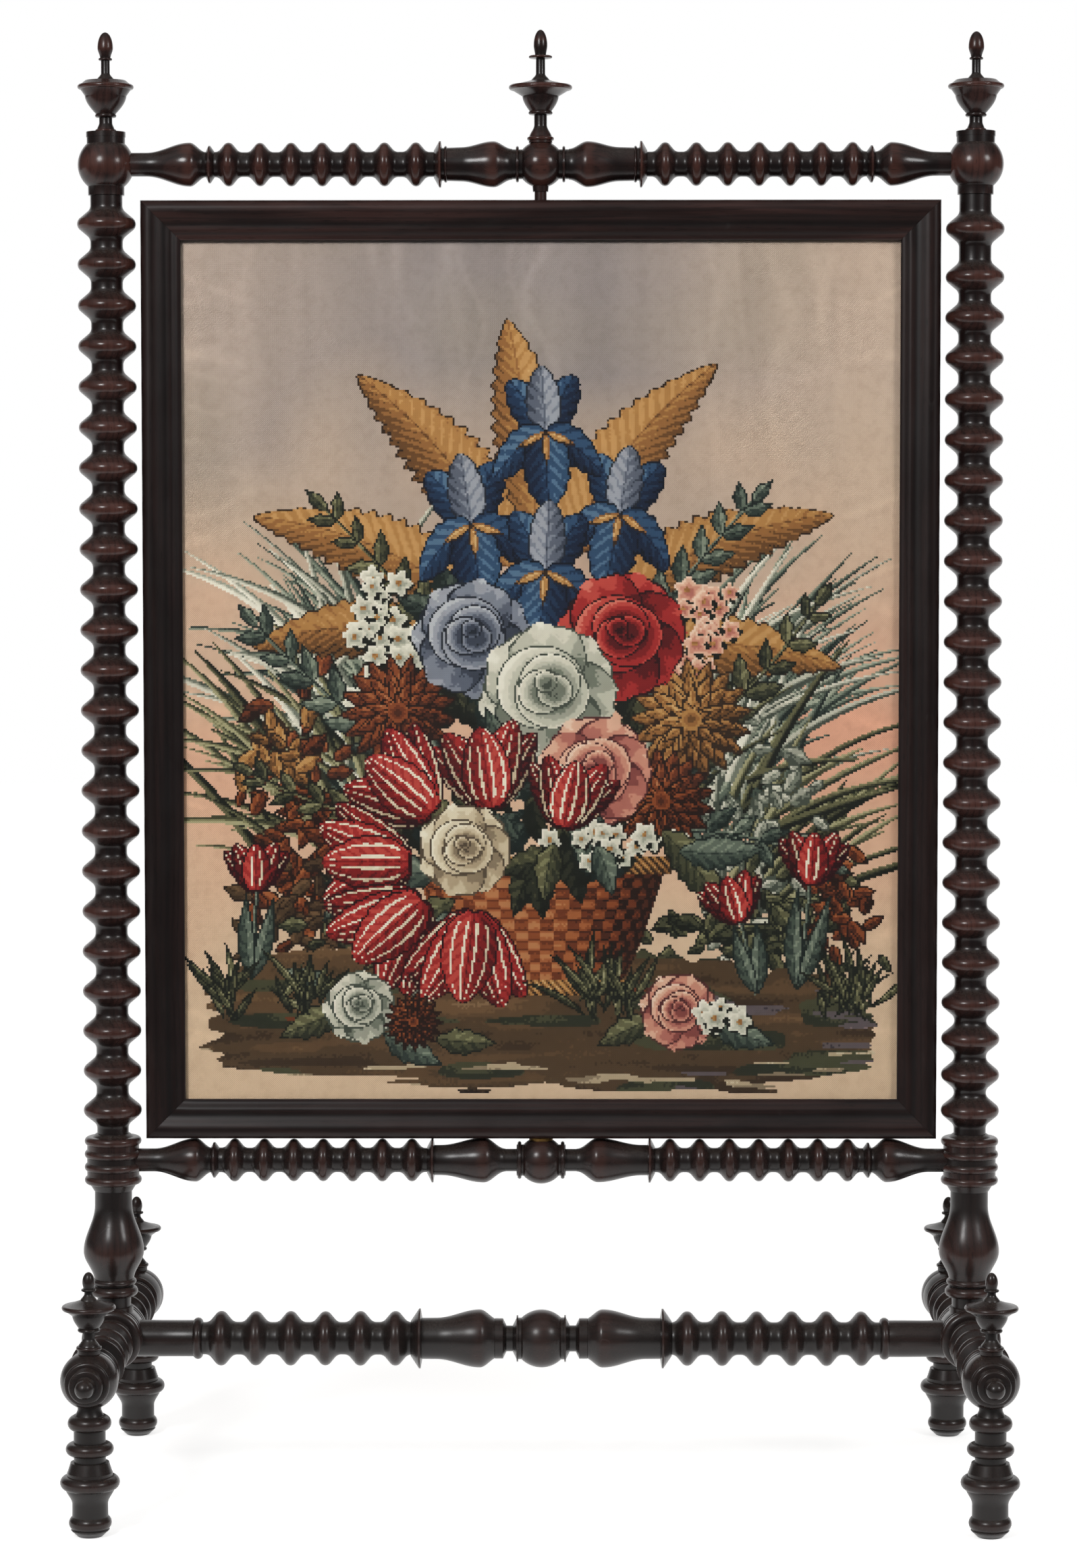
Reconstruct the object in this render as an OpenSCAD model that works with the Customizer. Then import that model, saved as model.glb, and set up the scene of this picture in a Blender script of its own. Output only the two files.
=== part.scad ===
// Cheval fire screen: a swivelling framed needlework panel between two bobbin-turned uprights.
// X runs across the screen, Y from front to back, Z upwards. The four soles stand on Z = 0.

/* [Stand] */
// Distance between the centre lines of the two uprights
upright_spacing = 700; // [620:5:860]
// Height of the top rail's centre line
top_rail_h = 1075; // [960:5:1240]
// Height of the lower rail's centre line
lower_rail_h = 267; // [255:1:330]
// Height of the foot rails' centre line
foot_rail_h = 122; // [118:1:134]
// Height of the stretcher's centre line
stretcher_h = 119.5; // [116:0.5:123]
// Distance from the plane of the uprights to the middle of each toe
foot_reach = 178; // [165:1:230]

/* [Uprights] */
// Radius over the bobbins of an upright
upright_bobbin_r = 23.7; // [22:0.1:25]
// Radius in the valleys between those bobbins
upright_valley_r = 13.1; // [12:0.1:14.5]
// Radius of the rounded nose of each bobbin
upright_nose_r = 6.2; // [5:0.1:7.5]
// Distance wanted from one bobbin to the next
upright_pitch = 32.7; // [30:0.1:40]
// Distance between the lowest bobbins of the right upright, which its turner set closer
crowded_pitch = 29.5; // [28:0.1:33]
// Distance from the top bobbin of the right upright down to the next one
open_pitch = 38.6; // [30:0.1:42]
// Radius of the ball at the top rail
top_ball_r = 22.75; // [21:0.25:24]
// Radius over the rings of the block at the lower rail
ring_block_r = 23.4; // [22:0.1:24.5]
// Radius of the baluster below the lower rail
baluster_r = 24.7; // [22:0.1:27]

/* [Rails] */
// Radius over the bobbins of the top and lower rails
rail_bobbin_r = 17.6; // [15:0.1:18]
// Radius in the valleys between the rail bobbins
rail_valley_r = 10.1; // [9:0.1:12]
// Distance wanted from one rail bobbin to the next
rail_pitch = 24.7; // [22:0.1:30]
// Radius of the plain ends that are let into the uprights
rail_end_r = 9.6; // [8:0.1:10]
// Radius of the vases of the two rails
rail_vase_r = 18.4; // [16:0.1:18.8]
// Radius of the middle ball of the top rail
top_middle_r = 19; // [17:0.1:20]
// Radius of the middle ball of the lower rail
lower_middle_r = 19.4; // [18.6:0.1:20]
// Radius over the bobbins of the stretcher
stretcher_bobbin_r = 22.3; // [20:0.1:24]
// Radius in the valleys between the stretcher bobbins
stretcher_valley_r = 13.4; // [12:0.1:14]
// Distance wanted from one stretcher bobbin to the next
stretcher_pitch = 28.6; // [27:0.1:34]
// Radius of the stretcher's plain ends
stretcher_end_r = 15; // [13:0.1:16]
// Radius of the stretcher's vases and of its middle ball
stretcher_vase_r = 23.7; // [21:0.1:25]

/* [Feet] */
// Radius of the block in the middle of each foot rail
foot_block_r = 24.5; // [23:0.5:26]
// Radius over the bobbins of a foot rail
foot_bobbin_r = 20; // [18:0.1:22]
// Distance wanted from one foot rail bobbin to the next
foot_pitch = 28; // [25:0.5:32]
// Radius of each toe ball
toe_r = 22.75; // [21:0.25:24]
// Radius of the widest ring of a foot
foot_ring_r = 23.3; // [20:0.1:25]
// Radius of a foot where it is plain
foot_stem_r = 14.2; // [12.8:0.1:15.5]

/* [Finials] */
// Radius of the pan of a side finial
side_pan_r = 22.6; // [19:0.1:24]
// Height of a side finial above its upright
side_urn_h = 79.6; // [76:0.2:95]
// Radius of the pan of the middle finial
centre_pan_r = 25.5; // [20:0.1:28]
// Height of the middle finial above its rail
centre_urn_h = 90.3; // [87:0.1:105]
// Radius of the pan of a toe finial
toe_pan_r = 21; // [17:0.1:23]
// Height of a toe finial above its toe
toe_urn_h = 63.8; // [61:0.2:75]

/* [Panel] */
// Gap between the panel and the bobbins of each upright
side_gap = 4.4; // [2:0.1:8]
// Drop from the top rail's centre line to the top of the panel
top_drop = 29.1; // [26:0.1:40]
// Width of the frame mouldings
member_w = 32; // [30:0.5:44]
// Thickness of the frame from front to back
frame_t = 30; // [29:0.5:34]
// Width of the raised outer band of the moulding
band_w = 13; // [10:0.5:15]
// Width of the rebate behind the sight edge
rebate_w = 8; // [7:0.5:9]
// Thickness of the sight edge in front of the rebate
lip_t = 3.5; // [2.5:0.1:5]
// Thickness of the glass
glass_t = 2; // [1.5:0.1:3]
// Thickness of the needlework canvas
canvas_t = 0.8; // [0.5:0.1:1.2]
// Thickness of the strainer bars
strainer_t = 8; // [6:0.5:8.5]
// Width of the strainer bars
strainer_w = 28; // [20:1:45]
// Thickness of the back board
backboard_t = 3; // [2:0.25:4]

/* [Pivots] */
// Radius of the spindle under the middle finial
spindle_r = 5; // [4:0.1:5.5]
// Radius of the steel pin in the lower rail
pin_r = 4; // [3:0.1:4.5]
// Wall of the two brass bushes
bush_wall = 2.4; // [1.5:0.1:3]
// Length of the two bushes
bush_l = 18; // [12:0.5:19]
// Thickness of the brass washer that the panel turns on
washer_t = 2.2; // [1.6:0.1:3]

/* [Fits] */
// Radial clearance of the spindle and pin in their bushes
running_gap = 0.06; // [0.02:0.01:0.1]
// Radial clearance of the glued round tenons
glue_gap = 0.1; // [0.05:0.05:0.3]
// Space left at the end of each blind hole
end_gap = 0.5; // [0.2:0.1:0.9]
// Play under the panel where it turns on the washer
thrust_gap = 0.1; // [0.05:0.05:0.3]
// Play round the glass and the back board in the rebate
rebate_gap = 0.8; // [0.5:0.1:0.95]
// Gap between the bottom of the panel and the vases of the lower rail
vase_gap = 0.5; // [0.4:0.1:0.8]

/* [Hidden] */
$fn = 64;

rosewood = "#3a2220";
dark_rosewood = "#2c1d1c";
pine = "#b08a5c";
brass = "#b5924c";
steel = "#8d9094";

// Slope of every bobbin's flanks, how far a flank is cut into its nose and coves, and the radii of those
flank = 50;
quirk = 0.05;
cove_r = 6.5;
rail_cove_r = 5.5;
stretcher_cove_r = 6.5;
foot_cove_r = 5.5;
rail_nose_r = 4.6;
stretcher_nose_r = 5.5;
foot_nose_r = 5;
foot_valley_r = 12.5;

half_spacing = upright_spacing / 2;

// Heights on the uprights
tenon_r = 10;
foot_seat_r = 15.5;
foot_seat_z = foot_rail_h + sqrt(pow(foot_block_r, 2) - pow(foot_seat_r, 2));
tenon_l = 15;
belly_z = lower_rail_h - 75;
ring_step = 10.6;
block_half = 1.5 * ring_step;
block_flank = 9;
first_bobbin_z = lower_rail_h + 41.1;
last_bobbin_z = top_rail_h - 47.5;
upright_bobbins = round((last_bobbin_z - first_bobbin_z) / upright_pitch);
crowded_bobbins = 3;
right_drop = 4.5;
upright_top_z = top_rail_h + 26;
collar_r = 15.8;

// Stations along a rail, from its middle outwards
rail_first = 102.8;
rail_last = half_spacing - 99;
rail_bobbins = round((rail_last - rail_first) / rail_pitch);
blade_tip = 1.3;
rail_socket = 10;
lower_socket = 12;

// Stations along the stretcher
stretcher_first = 119.5;
stretcher_last = half_spacing - 87.7;
stretcher_bobbins = round((stretcher_last - stretcher_first) / stretcher_pitch);
stretcher_tenon_r = 9;
stretcher_shoulder = 18;
stretcher_socket = 11;

// Stations along a foot rail
block_l = 22;
foot_first = 44;
foot_last = foot_reach - 78;
foot_bobbins = round((foot_last - foot_first) / foot_pitch);
foot_neck_r = 9.2;
foot_top_z = foot_rail_h - sqrt(pow(toe_r, 2) - pow(foot_neck_r, 2));
foot_spigot_r = 6;
foot_spigot_l = 12;
toe_seat_r = 8;
toe_seat_z = foot_rail_h + sqrt(pow(toe_r, 2) - pow(toe_seat_r, 2));
toe_dowel_r = 3.5;
toe_dowel_l = 6;

// Finials
dowel_r = 5;
dowel_l = 11;
centre_seat_r = 8.5;
centre_seat_z = top_rail_h + sqrt(pow(top_middle_r, 2) - pow(centre_seat_r, 2));

// The panel
panel_w = upright_spacing - 2 * (upright_bobbin_r + side_gap);
panel_z0 = lower_rail_h + rail_vase_r + vase_gap;
pin_seat_z = panel_z0 - thrust_gap - washer_t;
panel_z1 = top_rail_h - top_drop;
panel_h = panel_z1 - panel_z0;
washer_r = sqrt(pow(lower_middle_r, 2) - pow(pin_seat_z - lower_rail_h, 2)) - 0.4;
step_y = 4;
sight_y = frame_t / 2 - 7.5;
rebate_y = -sight_y + lip_t;
rebate_x = panel_w / 2 - member_w + rebate_w;
rebate_z0 = panel_z0 + member_w - rebate_w;
rebate_z1 = panel_z1 - member_w + rebate_w;
canvas_play = 1.2;
canvas_x = rebate_x - canvas_play;
canvas_z0 = rebate_z0 + canvas_play;
canvas_z1 = rebate_z1 - canvas_play;
canvas_y = rebate_y + glass_t;
strainer_y = canvas_y + canvas_t;
backboard_y = strainer_y + strainer_t;
bead_y = backboard_y + backboard_t;
bead_t = frame_t / 2 - bead_y;
bush_top_r = spindle_r + running_gap + bush_wall;
bush_low_r = pin_r + running_gap + bush_wall;
spindle_l = bush_l - 1;
tack_count = 7;
tack_head_r = 2.4;
tack_head_t = 0.4;
tack_l = 7;
pin_count = 4;
brad_r = 0.6;
brad_l = 9;

// Straight or tapered run of a turning from t0 to t1
module core(t0, t1, r0, r1) {
    polygon([[0, t0], [r0, t0], [r1, t1], [0, t1]]);
}

// Rounded ring whose edge has its own small radius
module bead(t, r, nose) {
    translate([r - nose, t]) circle(r = nose);
}

// The same ring on a web that joins it to the axis
module ring(t, r, nose) {
    bead(t, r, nose);
    core(t - 0.95 * nose, t + 0.95 * nose, r - nose, r - nose);
}

// Ball on the axis
module ball(t, r) {
    translate([0, t]) circle(r = r);
}

// Smooth S-shaped run from radius r0 to radius r1
module swell(t0, t1, r0, r1, steps = 12) {
    side = [for (i = [0:steps]) [r0 + (r1 - r0) * (1 - cos(180 * i / steps)) / 2, t0 + (t1 - t0) * i / steps]];
    polygon(concat([[0, t0]], side, [[0, t1]]));
}

// Sharp-edged fillet between two plain runs
module blade(t, r, inner_r, outer_r, inner_l, outer_l) {
    half = blade_tip / 2;
    polygon([
        [0, t - inner_l], [inner_r, t - inner_l], [r, t - half],
        [r, t + half], [outer_r, t + outer_l], [0, t + outer_l]
    ]);
}

// Bobbin: a rounded nose whose straight flanks run down into its valleys by a cove on each side
module bobbin(t, r, nose, valley, cove) {
    nose_c = r - nose;
    cove_c = valley + cove;
    reach = (nose + cove - 2 * quirk - (cove_c - nose_c) * cos(flank)) / sin(flank);
    apex_r = nose_c + (nose - quirk) / cos(flank);
    nose_w = nose * sin(flank);
    nose_r = apex_r - nose_w * tan(flank);
    foot_w = reach - cove * sin(flank);
    foot_r = apex_r - foot_w * tan(flank);
    bead(t, r, nose);
    difference() {
        polygon([
            [0, t - reach], [foot_r, t - reach], [foot_r, t - foot_w], [nose_r, t - nose_w],
            [nose_r, t + nose_w], [foot_r, t + foot_w], [foot_r, t + reach], [0, t + reach]
        ]);
        for (side = [-1, 1]) translate([cove_c, t + side * reach]) circle(r = cove);
    }
}

// Stations spread evenly from t0 to t1, count + 1 of them
function even(t0, t1, count) = [for (i = [0:count]) t0 + (t1 - t0) * i / count];

// Bobbins at the given stations
module bobbins(stations, r, nose, valley, cove) {
    for (t = stations) bobbin(t, r, nose, valley, cove);
}

// Heights of an upright's bobbins: even on the left, closer at the foot and wider at the top on the right
function bobbin_heights(side) = side < 0
    ? even(first_bobbin_z, last_bobbin_z, upright_bobbins)
    : concat(
        [for (i = [0:crowded_bobbins - 1]) first_bobbin_z + i * crowded_pitch],
        even(first_bobbin_z + crowded_bobbins * crowded_pitch, last_bobbin_z - right_drop - open_pitch,
            upright_bobbins - crowded_bobbins - 1),
        [last_bobbin_z - right_drop]);

// Turns an outline that is drawn with its radius along X and its length along Y
module turned(t0, t1) {
    big = 60;
    rotate_extrude() intersection() {
        translate([0, t0]) square([big, t1 - t0]);
        union() children();
    }
}

// Both halves of an outline that is the same on each side of its middle
module both_ways() {
    children();
    mirror([0, 1]) children();
}

// Hole along a rail's direction, from distance a to distance b from the middle of an upright
module socket(a, b, r) {
    rotate([0, 90, 0]) translate([0, 0, a]) cylinder(r = r, h = b - a);
}

// Upright, turned in one piece from its tenon to the collar under its finial
module upright_outline(side) {
    tenon_z = foot_seat_z - tenon_l;
    block_z0 = lower_rail_h - block_half;
    block_z1 = lower_rail_h + block_half;
    ring_core_r = ring_block_r - 2;
    core(tenon_z, foot_seat_z, tenon_r, tenon_r);
    core(foot_seat_z, foot_seat_z + 5, foot_seat_r, foot_seat_r);
    core(foot_seat_z, belly_z - 22, 13.4, 14.4);
    ring((foot_seat_z + belly_z - 15) / 2, 19.6, 4.2);
    ring(belly_z - 25, 18.4, 2.4);
    swell(belly_z - 24, belly_z, 16.2, baluster_r);
    swell(belly_z, belly_z + 38, baluster_r, 15.3);
    core(belly_z + 38, block_z0 - block_flank, 15.3, 15.3);
    core(block_z0 - block_flank, block_z0, 15.8, ring_core_r);
    core(block_z0, block_z1, ring_core_r, ring_core_r);
    core(block_z1, block_z1 + 6, ring_core_r, 14.2);
    for (i = [0:3]) bead(block_z0 + ring_step * i, ring_block_r, 3.6);
    core(block_z1, top_rail_h - 18, upright_valley_r, upright_valley_r);
    bobbins(bobbin_heights(side), upright_bobbin_r, upright_nose_r, upright_valley_r, cove_r);
    core(top_rail_h - 24.5, top_rail_h - 17, 14.7, 14.7);
    ball(top_rail_h, top_ball_r);
    core(top_rail_h + 15, top_rail_h + 22, 15.4, 15.4);
    core(top_rail_h + 22, upright_top_z, collar_r, collar_r);
}

module upright(side) {
    color(rosewood) translate([side * half_spacing, 0, 0]) difference() {
        turned(foot_seat_z - tenon_l, upright_top_z) upright_outline(side);
        translate([0, 0, upright_top_z - dowel_l - end_gap])
            cylinder(r = dowel_r + glue_gap, h = dowel_l + end_gap + 1);
        translate([0, 0, top_rail_h]) towards_middle(side) socket(rail_socket, 40, rail_end_r + glue_gap);
        translate([0, 0, lower_rail_h]) towards_middle(side) socket(lower_socket, 40, rail_end_r + glue_gap);
    }
}

// Points a socket of the left or right upright towards the middle of the screen
module towards_middle(side) {
    rotate([0, 0, side > 0 ? 180 : 0]) children();
}

// Half outline of the top rail, from its middle ball to the end in the upright
module top_rail_half() {
    end = half_spacing - rail_socket - end_gap;
    vase_t = half_spacing - 67.5;
    ball(0, top_middle_r);
    core(0, 28, 12, 12);
    ring(18.8, 14.6, 1.2);
    swell(23, 38, 12.4, rail_vase_r);
    swell(38, 64, rail_vase_r, 13.7);
    core(64, 81, 13.7, 13.3);
    ring(76.5, 14.8, 1.1);
    blade(81, rail_bobbin_r + 1.2, 13.3, rail_valley_r + 1, 1.6, 5);
    core(81, vase_t - 10, rail_valley_r, rail_valley_r);
    bobbins(even(rail_first - 2.4, rail_last, rail_bobbins), rail_bobbin_r, rail_nose_r, rail_valley_r, rail_cove_r);
    blade(vase_t - 16, rail_bobbin_r - 2.6, rail_valley_r, rail_valley_r, 4, 3);
    swell(vase_t - 13, vase_t, rail_valley_r, rail_vase_r - 0.7);
    swell(vase_t, vase_t + 35, rail_vase_r - 0.7, rail_end_r);
    core(vase_t + 35, end, rail_end_r, rail_end_r);
}

module top_rail() {
    end = half_spacing - rail_socket - end_gap;
    boss_z = sqrt(pow(top_middle_r, 2) - pow(spindle_r + 2.4, 2)) - 1;
    color(rosewood) translate([0, 0, top_rail_h]) difference() {
        union() {
            rotate([0, 90, 0]) turned(-end, end) both_ways() top_rail_half();
            translate([0, 0, -top_middle_r - 3]) cylinder(r1 = spindle_r + 1.2, r2 = spindle_r + 2.4,
                h = top_middle_r + 3 - boss_z);
        }
        translate([0, 0, -40]) cylinder(r = spindle_r + glue_gap, h = 80);
        translate([0, 0, centre_seat_z - top_rail_h]) cylinder(r = centre_seat_r + 4, h = 20);
    }
}

// Half outline of the lower rail
module lower_rail_half() {
    end = half_spacing - lower_socket - end_gap;
    vase_t = half_spacing - 67.8;
    ball(0, lower_middle_r);
    core(0, 20, 13, 13);
    ring(17.6, 15.6, 1.6);
    core(0, 32, 9.4, 9.4);
    swell(29, 46.5, 9.6, rail_vase_r);
    swell(46.5, 82, rail_vase_r, 12.6);
    core(82, 89, 12.6, 12.6);
    blade(88.5, rail_bobbin_r + 1, 12.6, rail_valley_r + 0.9, 1.6, 4.5);
    core(88, vase_t - 10, rail_valley_r, rail_valley_r);
    bobbins(even(rail_first + 2.5, rail_last - 0.5, rail_bobbins), rail_bobbin_r, rail_nose_r, rail_valley_r,
        rail_cove_r);
    blade(vase_t - 15, rail_bobbin_r - 3, rail_valley_r, rail_valley_r, 4, 3);
    swell(vase_t - 13, vase_t, rail_valley_r, rail_vase_r - 0.4);
    swell(vase_t, vase_t + 34, rail_vase_r - 0.4, rail_end_r);
    core(vase_t + 34, end, rail_end_r, rail_end_r);
}

module lower_rail() {
    end = half_spacing - lower_socket - end_gap;
    color(rosewood) translate([0, 0, lower_rail_h]) difference() {
        rotate([0, 90, 0]) turned(-end, end) both_ways() lower_rail_half();
        cylinder(r = pin_r + glue_gap, h = 40);
        translate([0, 0, pin_seat_z - lower_rail_h]) cylinder(r = washer_r + 4, h = 20);
    }
}

// Half outline of the stretcher between the foot rails
module stretcher_half() {
    shoulder = half_spacing - stretcher_shoulder - end_gap;
    ring_t = half_spacing - 68.8;
    ball(0, stretcher_vase_r);
    core(0, 20.3, 17.2, 17.2);
    core(19, 20.3, 19.2, 19.2);
    core(20.3, 23.5, 17.2, 10.7);
    core(23, 30, 10.7, 10.7);
    core(28.5, 31.4, 10.7, 16.6);
    core(31.4, 38, 16.6, 16.6);
    swell(35, 50.5, 15.5, stretcher_vase_r);
    swell(50.5, 86, stretcher_vase_r, 16.9);
    core(86, 99, 16.9, 16.8);
    blade(99.4, stretcher_bobbin_r + 2.2, 16.8, stretcher_valley_r + 1, 2, 7.5);
    core(99, ring_t, stretcher_valley_r, stretcher_valley_r);
    bobbins(even(stretcher_first, stretcher_last, stretcher_bobbins), stretcher_bobbin_r, stretcher_nose_r,
        stretcher_valley_r, stretcher_cove_r);
    bead(ring_t, stretcher_end_r + 2.2, 3.9);
    core(ring_t - 3, ring_t + 4, stretcher_end_r - 0.6, stretcher_end_r - 0.6);
    core(ring_t + 2, shoulder, stretcher_end_r, stretcher_end_r);
    core(shoulder, half_spacing - stretcher_socket - end_gap, stretcher_tenon_r, stretcher_tenon_r);
}

module stretcher() {
    end = half_spacing - stretcher_socket - end_gap;
    color(rosewood) translate([0, 0, stretcher_h]) rotate([0, 90, 0])
        turned(-end, end) both_ways() stretcher_half();
}

// Half outline of a foot rail, from its middle block to the nose of its toe
module foot_rail_half() {
    toe_t = foot_reach;
    core(0, block_l, foot_block_r, foot_block_r);
    bead(block_l, foot_block_r, 4.5);
    core(block_l, block_l + 7, foot_block_r - 4.5, 17);
    core(0, toe_t - 40, foot_valley_r, foot_valley_r);
    bobbins(even(foot_first, foot_last, foot_bobbins), foot_bobbin_r, foot_nose_r, foot_valley_r, foot_cove_r);
    blade(toe_t - 56, foot_bobbin_r + 1.5, foot_valley_r, foot_valley_r, 4, 4);
    swell(toe_t - 50, toe_t - 8, foot_valley_r, toe_r - 0.8);
    bead(toe_t - 42, 16.4, 2);
    bead(toe_t - 35.5, 18.6, 2.2);
    bead(toe_t - 28.5, 20.8, 2.4);
    ball(toe_t, toe_r);
    core(toe_t, toe_t + 16, 17, 17);
    bead(toe_t + 16, 18, 2.4);
    core(toe_t + 16, toe_t + 25, 14.5, 12.5);
    bead(toe_t + 25, 13.4, 2);
    core(toe_t + 25, toe_t + 32, 9.5, 6.5);
    ball(toe_t + 34, 7.5);
}

module foot_rail(side) {
    end = foot_reach + 41.5;
    color(rosewood) translate([side * half_spacing, 0, foot_rail_h]) difference() {
        rotate([90, 0, 0]) turned(-end, end) difference() {
            union() both_ways() foot_rail_half();
            both_ways() for (t = [11, 17]) translate([foot_block_r + 0.8, t]) circle(r = 1.8);
        }
        translate([0, 0, foot_seat_z - foot_rail_h - tenon_l - end_gap])
            cylinder(r = tenon_r + glue_gap, h = tenon_l + end_gap + 1);
        translate([0, 0, foot_seat_z - foot_rail_h]) cylinder(r = foot_seat_r + glue_gap, h = 20);
        translate([0, 0, stretcher_h - foot_rail_h]) towards_middle(side) {
            socket(stretcher_shoulder, 40, stretcher_end_r + glue_gap);
            socket(stretcher_socket, 40, stretcher_tenon_r + glue_gap);
        }
        for (end_y = [-foot_reach, foot_reach]) translate([0, end_y, 0]) {
            translate([0, 0, foot_top_z - foot_rail_h - 20]) cylinder(r = foot_neck_r + glue_gap, h = 20);
            translate([0, 0, foot_top_z - foot_rail_h - 1])
                cylinder(r = foot_spigot_r + glue_gap, h = foot_spigot_l + end_gap + 1);
            translate([0, 0, toe_seat_z - foot_rail_h]) cylinder(r = toe_seat_r + 3, h = 20);
            translate([0, 0, toe_seat_z - foot_rail_h - toe_dowel_l - end_gap])
                cylinder(r = toe_dowel_r + glue_gap, h = toe_dowel_l + end_gap + 1);
        }
    }
}

// Turned foot under a toe, from its rounded sole to the spigot in the toe ball
module foot_outline() {
    ring_z = foot_top_z - 59;
    core(0, 5, 9.8, 15);
    bead(10.6, foot_stem_r + 2.5, 6);
    core(4, ring_z - 8, foot_stem_r, foot_stem_r);
    swell(ring_z - 17, ring_z - 3, foot_stem_r, foot_ring_r - 3.6);
    bead(ring_z, foot_ring_r, 5.5);
    core(ring_z - 3, ring_z + 8, foot_ring_r - 5, foot_ring_r - 5.6);
    core(ring_z + 8, ring_z + 16, foot_ring_r - 5.8, foot_stem_r + 0.8);
    core(ring_z + 8, foot_top_z - 6, 12.4, 12.4);
    bead(foot_top_z - 32.6, foot_stem_r + 4.4, 5);
    bead(foot_top_z - 12.2, foot_stem_r + 2.8, 6);
    core(foot_top_z - 7, foot_top_z - 2, 11.5, foot_neck_r);
    core(foot_top_z - 2, foot_top_z, foot_neck_r, foot_neck_r);
    core(foot_top_z, foot_top_z + foot_spigot_l, foot_spigot_r, foot_spigot_r);
}

module foot(x, y) {
    color(dark_rosewood) translate([x * half_spacing, y * foot_reach, 0])
        turned(0, foot_top_z + foot_spigot_l) foot_outline();
}

// Urn finial: base, stem, bowl, wide pan, thin neck, knop and acorn, with its dowel below
module urn_outline(base_r, base_h, stem_r, ring_h, ring_r, bowl_h, bowl_r, pan_h, pan_r, shoulder_r,
                   neck_r, knop_h, knop_r, acorn_h, acorn_r, tip_h) {
    edge = 2;
    shoulder_h = 5;
    steps = 10;
    foot_nose = min(1.6, base_h / 2);
    flare_h = base_h + (ring_h - base_h) * 0.5;
    core(0, base_h, base_r * 0.88, base_r * 0.88);
    bead(base_h - foot_nose, base_r, foot_nose);
    swell(base_h - 1, flare_h, base_r * 0.85, stem_r);
    core(0, ring_h, stem_r, stem_r);
    ring(ring_h, ring_r, 1.4);
    polygon(concat([[0, ring_h]],
        [for (i = [0:steps]) [ring_r - 2 + (bowl_r - ring_r + 2) * sin(90 * i / steps),
            ring_h + (bowl_h - ring_h) * i / steps]],
        [[0, bowl_h]]));
    core(bowl_h - 1, pan_h - edge * 0.8, bowl_r, pan_r - edge);
    bead(pan_h, pan_r, edge);
    core(pan_h - edge * 0.8, pan_h + edge * 0.8, pan_r - edge, pan_r - edge);
    core(pan_h + edge * 0.8, pan_h + shoulder_h, pan_r - edge, shoulder_r);
    core(pan_h + shoulder_h, pan_h + shoulder_h + 0.8, shoulder_r, neck_r * 2);
    swell(pan_h + shoulder_h, pan_h + shoulder_h + 6, neck_r * 2, neck_r);
    core(pan_h + shoulder_h, knop_h + 2, neck_r, neck_r);
    ring(knop_h, knop_r, 1);
    swell(knop_h + 0.8, acorn_h, neck_r * 1.2, acorn_r);
    polygon(concat([[0, acorn_h]],
        [for (i = [0:steps]) [acorn_r * cos(90 * i / steps), acorn_h + (tip_h - acorn_h) * sin(90 * i / steps)]]));
}

module side_finial(side) {
    h = side_urn_h;
    color(dark_rosewood) translate([side * half_spacing, 0, upright_top_z]) turned(-dowel_l, h) {
        core(-dowel_l, 1, dowel_r, dowel_r);
        urn_outline(8.5, 2.2, 5.3, 13, 8.6, 30, 16.8, 36, side_pan_r, 16.5, 3.6, h - 21.6, 5.6, h - 12.6, 6.3, h);
    }
}

module centre_finial() {
    h = centre_urn_h;
    low = centre_seat_z - panel_z1 + spindle_l;
    color(dark_rosewood) translate([0, 0, centre_seat_z]) turned(-low, h) {
        core(-low, 1, spindle_r, spindle_r);
        urn_outline(10.9, 5, 5.2, 24, 9.8, 38.3, 14.7, 44.3, centre_pan_r, 10, 3.8, h - 21.7, 9.6, h - 12.5, 5.6, h);
    }
}

module toe_finial(x, y) {
    h = toe_urn_h;
    color(dark_rosewood) translate([x * half_spacing, y * foot_reach, toe_seat_z]) turned(-toe_dowel_l, h) {
        core(-toe_dowel_l, 1, toe_dowel_r, toe_dowel_r);
        urn_outline(10, 6, 4.7, 18.5, 8.8, 31, 13, 36, toe_pan_r, 9, 3.4, h - 14, 5.8, h - 8.2, 4.9, h);
    }
}

module pivot_pin() {
    color(steel) translate([0, 0, lower_rail_h]) {
        cylinder(r = pin_r, h = panel_z0 + bush_l - 3 - lower_rail_h);
    }
}

module pivot_washer() {
    color(brass) translate([0, 0, pin_seat_z]) difference() {
        cylinder(r = washer_r, h = washer_t);
        translate([0, 0, -1]) cylinder(r = pin_r + 0.3, h = washer_t + 2);
    }
}

// Section of the frame moulding: outer edge at X = 0, front towards -Y
module member_section() {
    front = -frame_t / 2;
    round_r = 7;
    difference() {
        union() {
            translate([0, front + round_r]) square([band_w, frame_t - round_r]);
            translate([round_r, front]) square([band_w - round_r, frame_t]);
            translate([round_r, front + round_r]) circle(r = round_r);
            polygon([
                [band_w - 1, front + step_y], [member_w - 10, front + step_y], [member_w, -sight_y],
                [member_w, rebate_y], [member_w - rebate_w, rebate_y],
                [member_w - rebate_w, frame_t / 2], [band_w - 1, frame_t / 2]
            ]);
            translate([band_w, front]) square([2.5, step_y + 1]);
        }
        translate([band_w + 2.5, front + 0.7]) circle(r = 2.5);
        translate([member_w - 11.5, front + step_y - 0.9]) circle(r = 1.5);
    }
}

// Mitred length of a moulding whose section is the child, standing on its outer corner
module mitred(length, width) {
    intersection() {
        linear_extrude(length) children();
        rotate([90, 0, 0]) translate([0, 0, -60]) linear_extrude(120)
            polygon([[0, 0], [width, width], [width, length - width], [0, length]]);
    }
}

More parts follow.
